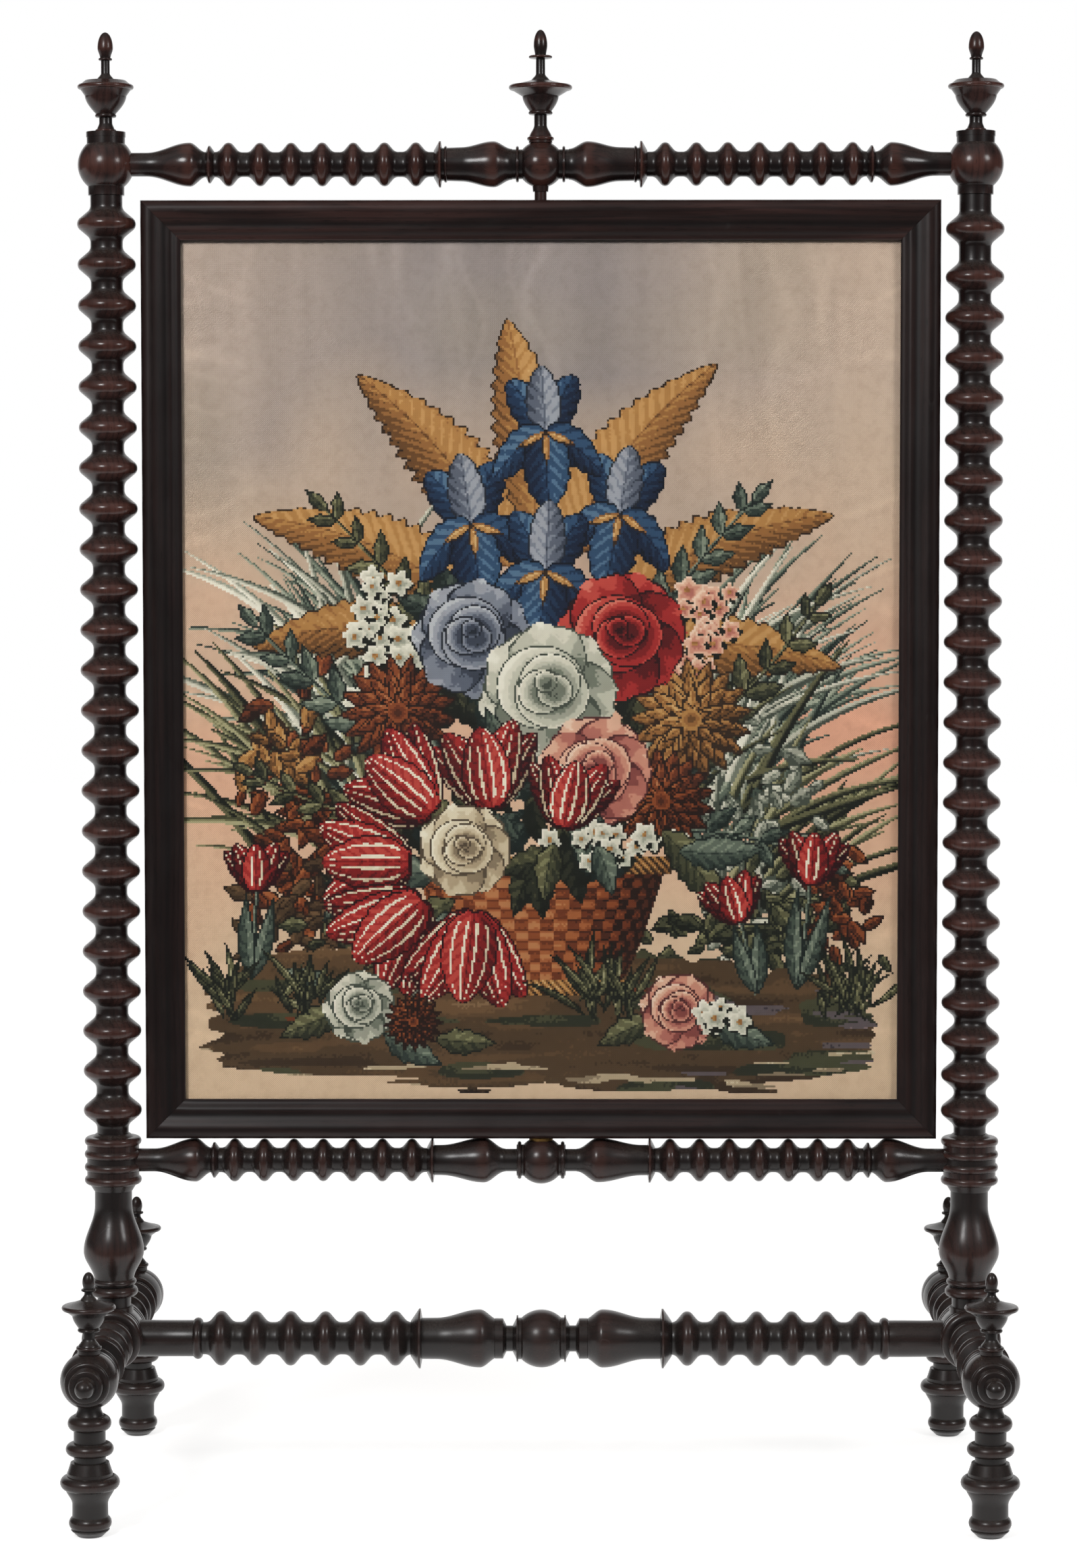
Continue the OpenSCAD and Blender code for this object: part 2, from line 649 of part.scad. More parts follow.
// Places a mitred length along one side of a rectangle of half width x from height z0 to z1
module along_side(which, x, z0, z1) {
    if (which == "left") translate([-x, 0, z0]) children();
    if (which == "right") mirror([1, 0, 0]) translate([-x, 0, z0]) children();
    if (which == "top") translate([-x, 0, z1]) rotate([0, 90, 0]) children();
    if (which == "bottom") mirror([0, 0, 1]) translate([-x, 0, -z0]) rotate([0, 90, 0]) children();
}

// Length of a side of the rectangle of half width x from height z0 to z1
function side_length(which, x, z0, z1) = which == "left" || which == "right" ? z1 - z0 : 2 * x;

module frame_member(which) {
    length = side_length(which, panel_w / 2, panel_z0, panel_z1);
    color(dark_rosewood) difference() {
        along_side(which, panel_w / 2, panel_z0, panel_z1) mitred(length, member_w) member_section();
        if (which == "top") translate([0, 0, panel_z1 - bush_l - end_gap])
            cylinder(r = bush_top_r + glue_gap, h = bush_l + end_gap + 1);
        if (which == "bottom") translate([0, 0, panel_z0 - 1])
            cylinder(r = bush_low_r + glue_gap, h = bush_l + end_gap + 1);
    }
}

module upper_bush() {
    color(brass) translate([0, 0, panel_z1 - bush_l]) difference() {
        cylinder(r = bush_top_r, h = bush_l);
        translate([0, 0, -1]) cylinder(r = spindle_r + running_gap, h = bush_l + 2);
    }
}

module lower_bush() {
    color(brass) translate([0, 0, panel_z0]) difference() {
        cylinder(r = bush_low_r, h = bush_l);
        translate([0, 0, -1]) cylinder(r = pin_r + running_gap, h = bush_l + 2);
    }
}

// Flat sheet across the rebate, held clear of its walls by gap
module rebate_sheet(y, thickness, gap) {
    translate([-rebate_x + gap, y, rebate_z0 + gap])
        cube([2 * (rebate_x - gap), thickness, rebate_z1 - rebate_z0 - 2 * gap]);
}

module glass() {
    color("lightcyan", 0.35) rebate_sheet(rebate_y, glass_t, rebate_gap);
}

// Canvas stretched over the strainer and turned back along its edges
module needlework() {
    color("#b39c8c") difference() {
        translate([-canvas_x, canvas_y, canvas_z0])
            cube([2 * canvas_x, canvas_t + strainer_t, canvas_z1 - canvas_z0]);
        translate([-canvas_x + canvas_t, strainer_y, canvas_z0 + canvas_t])
            cube([2 * (canvas_x - canvas_t), strainer_t + 1, canvas_z1 - canvas_z0 - 2 * canvas_t]);
    }
}

module strainer_bar(which) {
    x = canvas_x - canvas_t;
    z0 = canvas_z0 + canvas_t;
    z1 = canvas_z1 - canvas_t;
    color(pine) along_side(which, x, z0, z1) mitred(side_length(which, x, z0, z1), strainer_w)
        translate([0, strainer_y]) square([strainer_w, strainer_t]);
}

// Evenly spaced places between a and b, none of them at the ends
function spread(a, b, count) = [for (i = [1:count]) a + (b - a) * i / (count + 1)];

// Tack through the turned edge of the canvas into its bar
module tack() {
    translate([0, 0, -tack_l]) cylinder(r = brad_r, h = tack_l);
    cylinder(r = tack_head_r, h = tack_head_t);
}

module canvas_tacks() {
    y = strainer_y + strainer_t / 2;
    color(steel) {
        for (z = spread(canvas_z0, canvas_z1, tack_count)) {
            translate([canvas_x, y, z]) rotate([0, 90, 0]) tack();
            translate([-canvas_x, y, z]) rotate([0, -90, 0]) tack();
        }
        for (x = spread(-canvas_x, canvas_x, tack_count)) {
            translate([x, y, canvas_z1]) tack();
            translate([x, y, canvas_z0]) rotate([180, 0, 0]) tack();
        }
    }
}

module backboard() {
    color(pine) rebate_sheet(backboard_y, backboard_t, rebate_gap);
}

// Quarter-round bead that holds the back board in the rebate
module bead_strip(which) {
    length = side_length(which, rebate_x, rebate_z0, rebate_z1);
    color(dark_rosewood) along_side(which, rebate_x, rebate_z0, rebate_z1) mitred(length, bead_t)
        translate([0, bead_y]) intersection() {
            square(bead_t);
            circle(r = bead_t);
        }
}

// Brads through the beads into the frame
module bead_pins() {
    y = bead_y + bead_t * 0.4;
    back = bead_t * 0.6;
    color(steel) {
        for (z = spread(rebate_z0, rebate_z1, pin_count)) for (side = [-90, 90])
            translate([side / 90 * (rebate_x - back), y, z]) rotate([0, side, 0]) cylinder(r = brad_r, h = brad_l);
        for (x = spread(-rebate_x, rebate_x, pin_count)) {
            translate([x, y, rebate_z1 - back]) cylinder(r = brad_r, h = brad_l);
            translate([x, y, rebate_z0 + back]) rotate([180, 0, 0]) cylinder(r = brad_r, h = brad_l);
        }
    }
}

upright(-1);  // left_upright
upright(1);  // right_upright
top_rail();
lower_rail();
stretcher();
foot_rail(-1);  // left_foot_rail
foot_rail(1);  // right_foot_rail
foot(-1, -1);  // front_left_foot
foot(1, -1);  // front_right_foot
foot(-1, 1);  // rear_left_foot
foot(1, 1);  // rear_right_foot
toe_finial(-1, -1);  // front_left_toe_finial
toe_finial(1, -1);  // front_right_toe_finial
toe_finial(-1, 1);  // rear_left_toe_finial
toe_finial(1, 1);  // rear_right_toe_finial
side_finial(-1);  // left_finial
side_finial(1);  // right_finial
centre_finial();
pivot_pin();
pivot_washer();
frame_member("top");  // frame_top
frame_member("bottom");  // frame_bottom
frame_member("left");  // frame_left
frame_member("right");  // frame_right
glass();
needlework();
strainer_bar("top");  // strainer_top
strainer_bar("bottom");  // strainer_bottom
strainer_bar("left");  // strainer_left
strainer_bar("right");  // strainer_right
canvas_tacks();
backboard();
bead_strip("top");  // bead_top
bead_strip("bottom");  // bead_bottom
bead_strip("left");  // bead_left
bead_strip("right");  // bead_right
bead_pins();
upper_bush();
lower_bush();
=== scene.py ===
"""Looks of a cheval fire screen: framed needlework that swivels in a bobbin-turned rosewood stand.

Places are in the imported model's frame. The turned outlines and the stitch chart are in millimetres.
"""

import math

import bpy
import numpy as np
from bpy.props import FloatProperty, FloatVectorProperty, IntProperty, PointerProperty
from mathutils import Matrix, Vector


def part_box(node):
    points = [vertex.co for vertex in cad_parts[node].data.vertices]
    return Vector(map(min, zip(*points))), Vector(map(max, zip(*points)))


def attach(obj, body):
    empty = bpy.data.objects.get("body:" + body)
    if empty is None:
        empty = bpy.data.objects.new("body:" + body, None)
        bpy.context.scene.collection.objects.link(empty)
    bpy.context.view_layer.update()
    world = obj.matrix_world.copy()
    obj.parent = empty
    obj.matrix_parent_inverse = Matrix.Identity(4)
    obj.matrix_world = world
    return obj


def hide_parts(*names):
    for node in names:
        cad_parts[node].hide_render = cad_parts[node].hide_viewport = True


bl_info = {
    "name": "Cheval Fire Screen",
    "version": (1, 0, 0),
    "blender": (4, 5, 0),
    "location": "3D View > Sidebar > Fire Screen",
    "description": "Gives a bobbin-turned fire screen its polished wood, glass and needlework",
    "category": "Add Mesh",
}

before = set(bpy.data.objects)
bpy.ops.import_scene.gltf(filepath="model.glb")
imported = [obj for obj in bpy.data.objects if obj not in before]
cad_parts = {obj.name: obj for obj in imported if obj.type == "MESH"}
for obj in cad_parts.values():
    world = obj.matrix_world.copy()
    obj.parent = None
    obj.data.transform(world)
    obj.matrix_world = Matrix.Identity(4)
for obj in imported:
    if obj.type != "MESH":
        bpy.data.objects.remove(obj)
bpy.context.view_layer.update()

MM = 0.001


def corners_mm(node):
    """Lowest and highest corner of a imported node, in millimetres."""
    low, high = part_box(node)
    return np.array(low) / MM, np.array(high) / MM


def middle_mm(node):
    """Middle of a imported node's box, in millimetres."""
    low, high = corners_mm(node)
    return (low + high) / 2


def linear(*display):
    """Linear colour of a display colour whose parts run from 0 to 255."""
    parts = [value / 255 for value in display]
    return tuple(v / 12.92 if v <= 0.04045 else ((v + 0.055) / 1.055) ** 2.4 for v in parts)


# Places that the whole scene hangs on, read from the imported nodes
HALF_SPACING = middle_mm("right_upright")[0]
FOOT_REACH = middle_mm("rear_left_foot")[1]
FOOT_RAIL_H = middle_mm("left_foot_rail")[2]
STRETCHER_H = middle_mm("stretcher")[2]
UPRIGHT_TOP = corners_mm("left_upright")[1][2]
COLLAR_TOP_RISE = 26
TOP_RAIL_H = UPRIGHT_TOP - COLLAR_TOP_RISE
LOWER_RAIL_H = corners_mm("lower_rail")[0][2] + corners_mm("lower_rail")[1][1]
PIN_SEAT_Z = corners_mm("pivot_washer")[0][2]
PANEL_LOW, PANEL_HIGH = corners_mm("frame_left")
PANEL_HALF_W = -PANEL_LOW[0]
PANEL_Z0 = PANEL_LOW[2]
PANEL_Z1 = PANEL_HIGH[2]

# Turned sizes of the stand
UPRIGHT_BOBBIN = dict(r=23.7, nose=6.2, valley=13.1, cove=6.5)
RAIL_BOBBIN = dict(r=17.6, nose=4.6, valley=10.1, cove=5.5)
STRETCHER_BOBBIN = dict(r=22.3, nose=5.5, valley=13.4, cove=6.5)
FOOT_BOBBIN = dict(r=20, nose=5, valley=12.5, cove=5.5)
BOBBIN_FLANK = math.radians(50)
UPRIGHT_PITCH = 32.7
CROWDED_PITCH = 29.5
OPEN_PITCH = 38.6
CROWDED_BOBBINS = 3
RIGHT_DROP = 4.5
RAIL_PITCH = 24.7
STRETCHER_PITCH = 28.6
FOOT_PITCH = 28
TOP_BALL_R = 22.75
TOE_R = 22.75
RING_BLOCK_R = 23.4
RING_STEP = 10.6
BALUSTER_R = 24.7
RAIL_END_R = 9.6
RAIL_VASE_R = 18.4
TOP_MIDDLE_R = 19
LOWER_MIDDLE_R = 19.4
STRETCHER_VASE_R = 23.7
STRETCHER_END_R = 15
FOOT_BLOCK_R = 24.5
FOOT_RING_R = 23.3
FOOT_STEM_R = 14.2
FOOT_NECK_R = 9.2
FOOT_SEAT_R = 15.5
SPINDLE_R = 5
BLADE_TIP = 1.3

# How the turnings are meshed
STATION_STEP = 0.05
OUTLINE_TOLERANCE = 0.022
TURNING_SIDES = 64
CROWN_REACH = 11
SHARP_ANGLE = math.radians(38)
DULL_FROM = 460
DULL_TO = 60

# Frame moulding
MEMBER_W = 32
BAND_W = 13
REBATE_W = 8
LIP_T = 3.5
ROUND_R = 7
STEP_Y = 4
SIGHT_DROP = 7.5
BEAD_R = 5.2
MITRE_GAP = 0.06

# Photograph's camera, in its own frame of 1596 by 2324 pixels
PHOTO_HEIGHT = 2324
FOCAL_PIXELS = 6029
CAMERA_PLACE = (0.01894, -3.3, 0.78596)
CAMERA_PITCH = 0.0638252
CAMERA_YAW = -0.00632
CAMERA_ROLL = -0.00051
SENSOR = 36


class WoodSettings(bpy.types.PropertyGroup):
    """Finish of the polished wood"""

    dark: FloatVectorProperty(
        name="Dark wood", description="Colour of the dark streaks", subtype="COLOR", size=3,
        min=0, max=1, default=linear(20, 15, 15))
    red: FloatVectorProperty(
        name="Red wood", description="Colour of the lighter red-brown figure", subtype="COLOR", size=3,
        min=0, max=1, default=linear(71, 46, 42))
    polish: FloatProperty(
        name="Polish roughness", description="Roughness of the clean French polish",
        min=0.02, max=1, default=0.18)
    wear: FloatProperty(
        name="Wear", description="How far the crowns are rubbed and the hollows darkened",
        min=0, max=1, default=0.6)
    dust: FloatProperty(
        name="Dust", description="Dust that lies in the hollows", min=0, max=1, default=0.22)
    wobble: FloatProperty(
        name="Hand turning", description="Depth of the unevenness left by hand turning, in millimetres",
        min=0, max=0.5, default=0.3)


class NeedleworkSettings(bpy.types.PropertyGroup):
    """Stitches and ground of the needlework"""

    stitch: FloatProperty(
        name="Stitch", description="Distance from one stitch to the next", unit="LENGTH",
        min=0.001, max=0.006, default=0.0016)
    ripple: FloatProperty(
        name="Ripple", description="Depth of the ripples inside the strainer", unit="LENGTH",
        min=0, max=0.002, default=0.0011)
    upper_ground: FloatVectorProperty(
        name="Upper ground", description="Mauve grey ground at the top", subtype="COLOR", size=3,
        min=0, max=1, default=linear(150, 138, 134))
    side_ground: FloatVectorProperty(
        name="Side ground", description="Peach ground of the middle", subtype="COLOR", size=3,
        min=0, max=1, default=linear(226, 166, 138))
    edge_ground: FloatVectorProperty(
        name="Edge ground", description="Cream ground of the lower edges", subtype="COLOR", size=3,
        min=0, max=1, default=linear(216, 186, 156))
    seed: IntProperty(name="Seed", description="Start of the random wool shades", default=11)


class StageSettings(bpy.types.PropertyGroup):
    """Floor and soft light"""

    key_power: FloatProperty(
        name="Left light", description="Power of the soft light on the left", unit="POWER",
        min=0, max=200, default=32)
    fill_power: FloatProperty(
        name="Right light", description="Power of the soft light on the right", unit="POWER",
        min=0, max=200, default=17)
    surround: FloatProperty(
        name="Surroundings", description="Strength of the light from all round", min=0, max=1, default=0.42)
    room: FloatProperty(
        name="Room", description="Strength of the dim room that polished pieces mirror", min=0, max=1, default=0.08)
    floor_glow: FloatProperty(
        name="Floor white", description="What the floor adds for the camera so that it shows white",
        min=0, max=1, default=0.68)


class FireScreenSettings(bpy.types.PropertyGroup):
    """All settings of the fire screen"""

    wood: PointerProperty(type=WoodSettings, name="Wood", description="Finish of the polished wood")
    needlework: PointerProperty(
        type=NeedleworkSettings, name="Needlework", description="Stitches and ground of the needlework")
    stage: PointerProperty(type=StageSettings, name="Stage", description="Floor and soft light")


class Shader:
    """Adds nodes to one shader tree and joins them."""

    def __init__(self, tree):
        self.tree = tree

    def node(self, kind, values=None, **settings):
        made = self.tree.nodes.new(kind)
        for name, value in settings.items():
            setattr(made, name, value)
        for name, value in (values or {}).items():
            self.feed(made.inputs[name], value)
        return made

    def feed(self, socket, value):
        if isinstance(value, bpy.types.NodeSocket):
            self.tree.links.new(value, socket)
        else:
            socket.default_value = value

    def math(self, operation, first, second=0.0, third=0.0):
        made = self.tree.nodes.new("ShaderNodeMath")
        made.operation = operation
        for socket, value in zip(made.inputs, (first, second, third)):
            self.feed(socket, value)
        return made.outputs[0]

    def ramp(self, value, low, high, to_low=0.0, to_high=1.0):
        """Smooth step of a value between low and high."""
        made = self.node("ShaderNodeMapRange", interpolation_type="SMOOTHSTEP")
        pairs = zip(("Value", "From Min", "From Max", "To Min", "To Max"), (value, low, high, to_low, to_high))
        for name, part in pairs:
            self.feed(made.inputs[name], part)
        return made.outputs["Result"]

    def mix(self, share, first, second, blend="MIX"):
        """Colour mix."""
        made = self.node("ShaderNodeMix", data_type="RGBA", blend_type=blend)
        self.feed(made.inputs[0], share)
        self.feed(made.inputs[6], first)
        self.feed(made.inputs[7], second)
        return made.outputs[2]

    def stretch(self, vector, scale):
        made = self.node("ShaderNodeVectorMath", {0: vector, 1: scale}, operation="MULTIPLY")
        return made.outputs[0]

    def noise(self, vector, scale, detail=2.0, roughness=0.5, distortion=0.0):
        made = self.node("ShaderNodeTexNoise", {
            "Vector": vector, "Scale": scale, "Detail": detail, "Roughness": roughness,
            "Distortion": distortion})
        return made.outputs["Fac"]

    def attribute(self, name, output="Fac"):
        made = self.node("ShaderNodeAttribute")
        made.attribute_name = name
        return made.outputs[output]

    def group(self, tree, values):
        made = self.tree.nodes.new("ShaderNodeGroup")
        made.node_tree = tree
        for name, value in values.items():
            self.feed(made.inputs[name], value)
        return made.outputs


def colour4(colour):
    """A colour property as the four numbers that a socket takes."""
    return (*colour, 1.0)


def new_group(name, inputs, outputs):
    """Empty shader group with the given sockets, its input node and its output node."""
    tree = bpy.data.node_groups.new(name, "ShaderNodeTree")
    for socket, default in inputs.items():
        kind = "NodeSocketVector" if default is None else "NodeSocketFloat"
        made = tree.interface.new_socket(name=socket, in_out="INPUT", socket_type=kind)
        if default is not None:
            made.default_value = default
    for socket in outputs:
        tree.interface.new_socket(name=socket, in_out="OUTPUT", socket_type="NodeSocketFloat")
    start = tree.nodes.new("NodeGroupInput").outputs
    end = tree.nodes.new("NodeGroupOutput").inputs
    return tree, Shader(tree), start, end


def grain_group():
    """Grain of a hardwood whose coordinates run along the piece in Z: figure, dark lines and pores."""
    name = "Wood grain"
    if name in bpy.data.node_groups:
        return bpy.data.node_groups[name]
    tree, shader, start, end = new_group(
        name, {"Vector": None, "Ring scale": 60.0, "Pore scale": 1.0}, ("Figure", "Lines", "Pores"))
    place = start["Vector"]
    long_place = shader.stretch(place, (1, 1, 0.09))
    warp = shader.noise(shader.stretch(place, (1, 1, 0.25)), 24, 3, 0.5)
    figure = shader.noise(long_place, 46, 4, 0.55, 0.6)
    split = shader.node("ShaderNodeSeparateXYZ", {0: place})
    across = shader.node("ShaderNodeCombineXYZ", {
        "X": shader.math("MULTIPLY_ADD", warp, 0.012, split.outputs["X"]),
        "Y": shader.math("MULTIPLY_ADD", figure, 0.006, split.outputs["Y"]),
        "Z": shader.math("MULTIPLY", split.outputs["Z"], 0.02)})
    rings = shader.node("ShaderNodeTexWave", {
        "Vector": across.outputs[0], "Scale": start["Ring scale"], "Distortion": 2.5, "Detail": 3.0,
        "Detail Scale": 1.5}, wave_type="RINGS", rings_direction="Z")
    lines = shader.ramp(rings.outputs["Fac"], 0.55, 0.98)
    pore_place = shader.stretch(place, (1, 1, 0.07))
    scaled = shader.node("ShaderNodeVectorMath", {0: pore_place, "Scale": start["Pore scale"]}, operation="SCALE")
    pores = shader.ramp(shader.noise(scaled.outputs[0], 900, 2, 0.6), 0.6, 0.7)
    tree.links.new(shader.ramp(figure, 0.32, 0.68), end["Figure"])
    tree.links.new(lines, end["Lines"])
    tree.links.new(pores, end["Pores"])
    return tree


def wear_group():
    """Masks of rubbed crowns, of hollows darkened by grime and painted shade, and of dust that lies on hollows facing
    up.
    """
    name = "Wear and dust"
    if name in bpy.data.node_groups:
        return bpy.data.node_groups[name]
    tree, shader, start, end = new_group(
        name, {"Vector": None, "Crown": 0.5, "Wear": 0.6, "Dust": 0.3}, ("Rubbed", "Grime and painted shade", "Dust"))
    patches = shader.noise(start["Vector"], 55, 4, 0.6)
    fine = shader.noise(start["Vector"], 620, 2, 0.6)
    crown = shader.math("MULTIPLY_ADD", patches, 0.5, shader.math("SUBTRACT", start["Crown"], 0.25))
    rubbed = shader.math("MULTIPLY", shader.ramp(crown, 0.72, 1.05), start["Wear"])
    # Grime and painted shade: the hollows of the turnings are darkened.
    grime_and_shade = shader.math("MULTIPLY", shader.ramp(crown, 0.45, 0.02), start["Wear"])
    facing = shader.node("ShaderNodeSeparateXYZ", {0: shader.node("ShaderNodeNewGeometry").outputs["Normal"]})
    upwards = shader.ramp(facing.outputs["Z"], 0.1, 0.95)
    settled = shader.math("MULTIPLY", upwards, shader.ramp(crown, 0.8, 0.1, 0.25, 1.0))
    speckled = shader.math("MULTIPLY", settled, shader.ramp(fine, 0.35, 0.65, 0.4, 1.0))
    tree.links.new(rubbed, end["Rubbed"])
    tree.links.new(grime_and_shade, end["Grime and painted shade"])
    tree.links.new(shader.math("MULTIPLY", speckled, start["Dust"]), end["Dust"])
    return tree


def scratch_group():
    """Fine crossing scratches."""
    name = "Scratches"
    if name in bpy.data.node_groups:
        return bpy.data.node_groups[name]
    tree, shader, start, end = new_group(name, {"Vector": None, "Scale": 1.0}, ("Scratches",))
    scaled = shader.node("ShaderNodeVectorMath", {0: start["Vector"], "Scale": start["Scale"]}, operation="SCALE")
    place = scaled.outputs[0]
    first = shader.noise(shader.stretch(place, (14, 900, 40)), 1.0, 3, 0.7, 0.4)
    second = shader.noise(shader.stretch(place, (700, 20, 18)), 1.0, 3, 0.7, 0.4)
    lines = shader.math("MAXIMUM", shader.ramp(first, 0.66, 0.72), shader.ramp(second, 0.66, 0.72))
    tree.links.new(lines, end["Scratches"])
    return tree


def new_material(name):
    """Material with only a Principled shader and its output."""
    material = bpy.data.materials.new(name)
    material.use_nodes = True
    tree = material.node_tree
    tree.nodes.clear()
    shader = Shader(tree)
    output = tree.nodes.new("ShaderNodeOutputMaterial")
    surface = tree.nodes.new("ShaderNodeBsdfPrincipled")
    tree.links.new(surface.outputs[0], output.inputs["Surface"])
    return material, shader, surface, output


def object_place(shader):
    return shader.node("ShaderNodeTexCoord").outputs["Object"]


def polished_wood(name, place, crown, tone, settings, shading):
    """Dark French-polished rosewood. place, crown and tone are functions of the shader."""
    material, shader, surface, _ = new_material(name)
    where = place(shader)
    height = crown(shader)
    shade = tone(shader)
    grain = shader.group(grain_group(), {"Vector": where, "Ring scale": 62.0, "Pore scale": 1.0})
    wear = shader.group(wear_group(), {
        "Vector": where, "Crown": height, "Wear": settings.wear, "Dust": settings.dust * shading["dust"]})
    scratches = shader.group(scratch_group(), {"Vector": where, "Scale": 1.0})["Scratches"]
    dull = shader.attribute("dull")
    share = shader.math("MULTIPLY", shader.ramp(grain["Figure"], 0, 1, 0.35, 0.95),
                        shader.ramp(grain["Lines"], 0, 1, 1.0, 0.62))
    # Painted shade: the red figure fades to the dark colour in the hollows and shows fully on the crowns.
    share = shader.math("MULTIPLY", share, shader.math("MULTIPLY", shade, shader.ramp(height, 0.05, 0.75, 0.36, 1.0)))
    # Towards the floor, as the dull attribute rises, the red figure fades and the wood turns greyer.
    share = shader.math("MULTIPLY", share, shader.ramp(dull, 0, 1, 1.0, 0.5))
    wood = shader.mix(share, colour4(settings.dark), colour4(settings.red))
    bare = shader.math("MULTIPLY", wear["Rubbed"], shader.ramp(dull, 0, 1, 0.4, 0.15))
    rubbed = shader.mix(bare, wood, (*linear(*shading["rubbed"]), 1))
    pored = shader.mix(shader.math("MULTIPLY", grain["Pores"], 0.55), rubbed, (*linear(12, 9, 9), 1))
    # Hollows darkened towards near-black: partly grime, partly painted shade.
    grimed_and_shaded = shader.mix(shader.math("MULTIPLY", wear["Grime and painted shade"], 0.6), pored, (*linear(17, 14, 14), 1))
    dusty = shader.mix(wear["Dust"], grimed_and_shaded, (*linear(118, 106, 98), 1))
    dulled = shader.mix(shader.math("MULTIPLY", dull, 0.1), dusty, (*linear(84, 80, 76), 1))
    shader.feed(surface.inputs["Base Color"], shader.mix(shading["stain"], dulled, (*linear(14, 10, 10), 1)))
    smear = shader.noise(shader.stretch(where, (1, 1, 0.5)), 40, 4, 0.6)
    polish = settings.polish + shading["satin"]
    rough = shader.ramp(smear, 0.3, 0.75, polish, polish + 0.09)
    rough = shader.math("MULTIPLY_ADD", wear["Grime and painted shade"], 0.08, rough)
    rough = shader.math("MULTIPLY_ADD", dull, 0.05, rough)
    rough = shader.math("MULTIPLY_ADD", wear["Dust"], 0.35, rough)
    rough = shader.math("MULTIPLY_ADD", scratches, 0.12, rough)
    shader.feed(surface.inputs["Roughness"], rough)
    surface.inputs["Specular IOR Level"].default_value = shading["specular"]
    surface.inputs["IOR"].default_value = 1.5
    ripple = shader.noise(where, 70, 1, 0.5)
    relief = shader.math("MULTIPLY_ADD", grain["Pores"], -0.12, ripple)
    relief = shader.math("MULTIPLY_ADD", scratches, -0.08, relief)
    bump = shader.node("ShaderNodeBump", {"Height": relief, "Strength": 0.13, "Distance": 0.00035})
    shader.feed(surface.inputs["Normal"], bump.outputs[0])
    return material


def turned_wood(settings):
    """Rosewood of the turned pieces, which carry their grain, crown and tone as attributes."""
    if "Turned rosewood" in bpy.data.materials:
        return bpy.data.materials["Turned rosewood"]
    return polished_wood(
        "Turned rosewood",
        lambda shader: shader.attribute("grain", "Vector"),
        lambda shader: shader.attribute("crown"),
        lambda shader: shader.attribute("tone"),
        settings, {"rubbed": (112, 66, 54), "specular": 0.4, "satin": 0, "dust": 1, "stain": 0.1})


def moulding_wood(settings):
    """Darker rosewood of the frame and its beads."""
    if "Moulding rosewood" in bpy.data.materials:
        return bpy.data.materials["Moulding rosewood"]
    return polished_wood(
        "Moulding rosewood",
        lambda shader: shader.attribute("grain", "Vector"),
        lambda shader: shader.attribute("crown"),
        lambda shader: shader.attribute("tone"),
        settings, {"rubbed": (84, 56, 52), "specular": 0.3, "satin": 0.12, "dust": 0.3, "stain": 0.3})


def pine_wood():
    """Bare aged pine of the strainer and the back board."""
    if "Aged pine" in bpy.data.materials:
        return bpy.data.materials["Aged pine"]
    material, shader, surface, _ = new_material("Aged pine")
    place = object_place(shader)
    swirl = shader.noise(shader.stretch(place, (5, 5, 1.6)), 1.0, 2, 0.5)
    shift = shader.node("ShaderNodeCombineXYZ", {"X": shader.math("MULTIPLY", swirl, 0.13)})
    sawn = shader.node("ShaderNodeVectorMath", {0: place, 1: shift.outputs[0]}, operation="ADD")
    grain = shader.group(grain_group(), {
        "Vector": sawn.outputs["Vector"], "Ring scale": 15.0, "Pore scale": 0.6})
    wear = shader.group(wear_group(), {"Vector": place, "Crown": 0.55, "Wear": 0.7, "Dust": 0.25})
    base = shader.mix(grain["Figure"], (*linear(164, 124, 82), 1), (*linear(196, 158, 112), 1))
    lined = shader.mix(shader.math("MULTIPLY", grain["Lines"], 0.42), base, (*linear(132, 90, 54), 1))
    stain = shader.ramp(shader.noise(place, 7, 4, 0.6), 0.45, 0.75)
    aged = shader.mix(shader.math("MULTIPLY", stain, 0.45), lined, (*linear(104, 78, 54), 1))
    knots = shader.node("ShaderNodeTexVoronoi", {
        "Vector": shader.stretch(place, (1, 1, 0.45)), "Scale": 9.0}, feature="F1")
    ring = shader.ramp(knots.outputs["Distance"], 0.1, 0.03)
    knotted = shader.mix(shader.math("MULTIPLY", ring, 0.8), aged, (*linear(84, 50, 28), 1))
    dusty = shader.mix(wear["Dust"], knotted, (*linear(150, 140, 126), 1))
    shader.feed(surface.inputs["Base Color"], dusty)
    shader.feed(surface.inputs["Roughness"], shader.ramp(grain["Figure"], 0, 1, 0.62, 0.8))
    bump = shader.node("ShaderNodeBump", {
        "Height": shader.math("MULTIPLY_ADD", grain["Pores"], -0.5, grain["Lines"]),
        "Strength": 0.5, "Distance": 0.0003})
    shader.feed(surface.inputs["Normal"], bump.outputs[0])
    return material


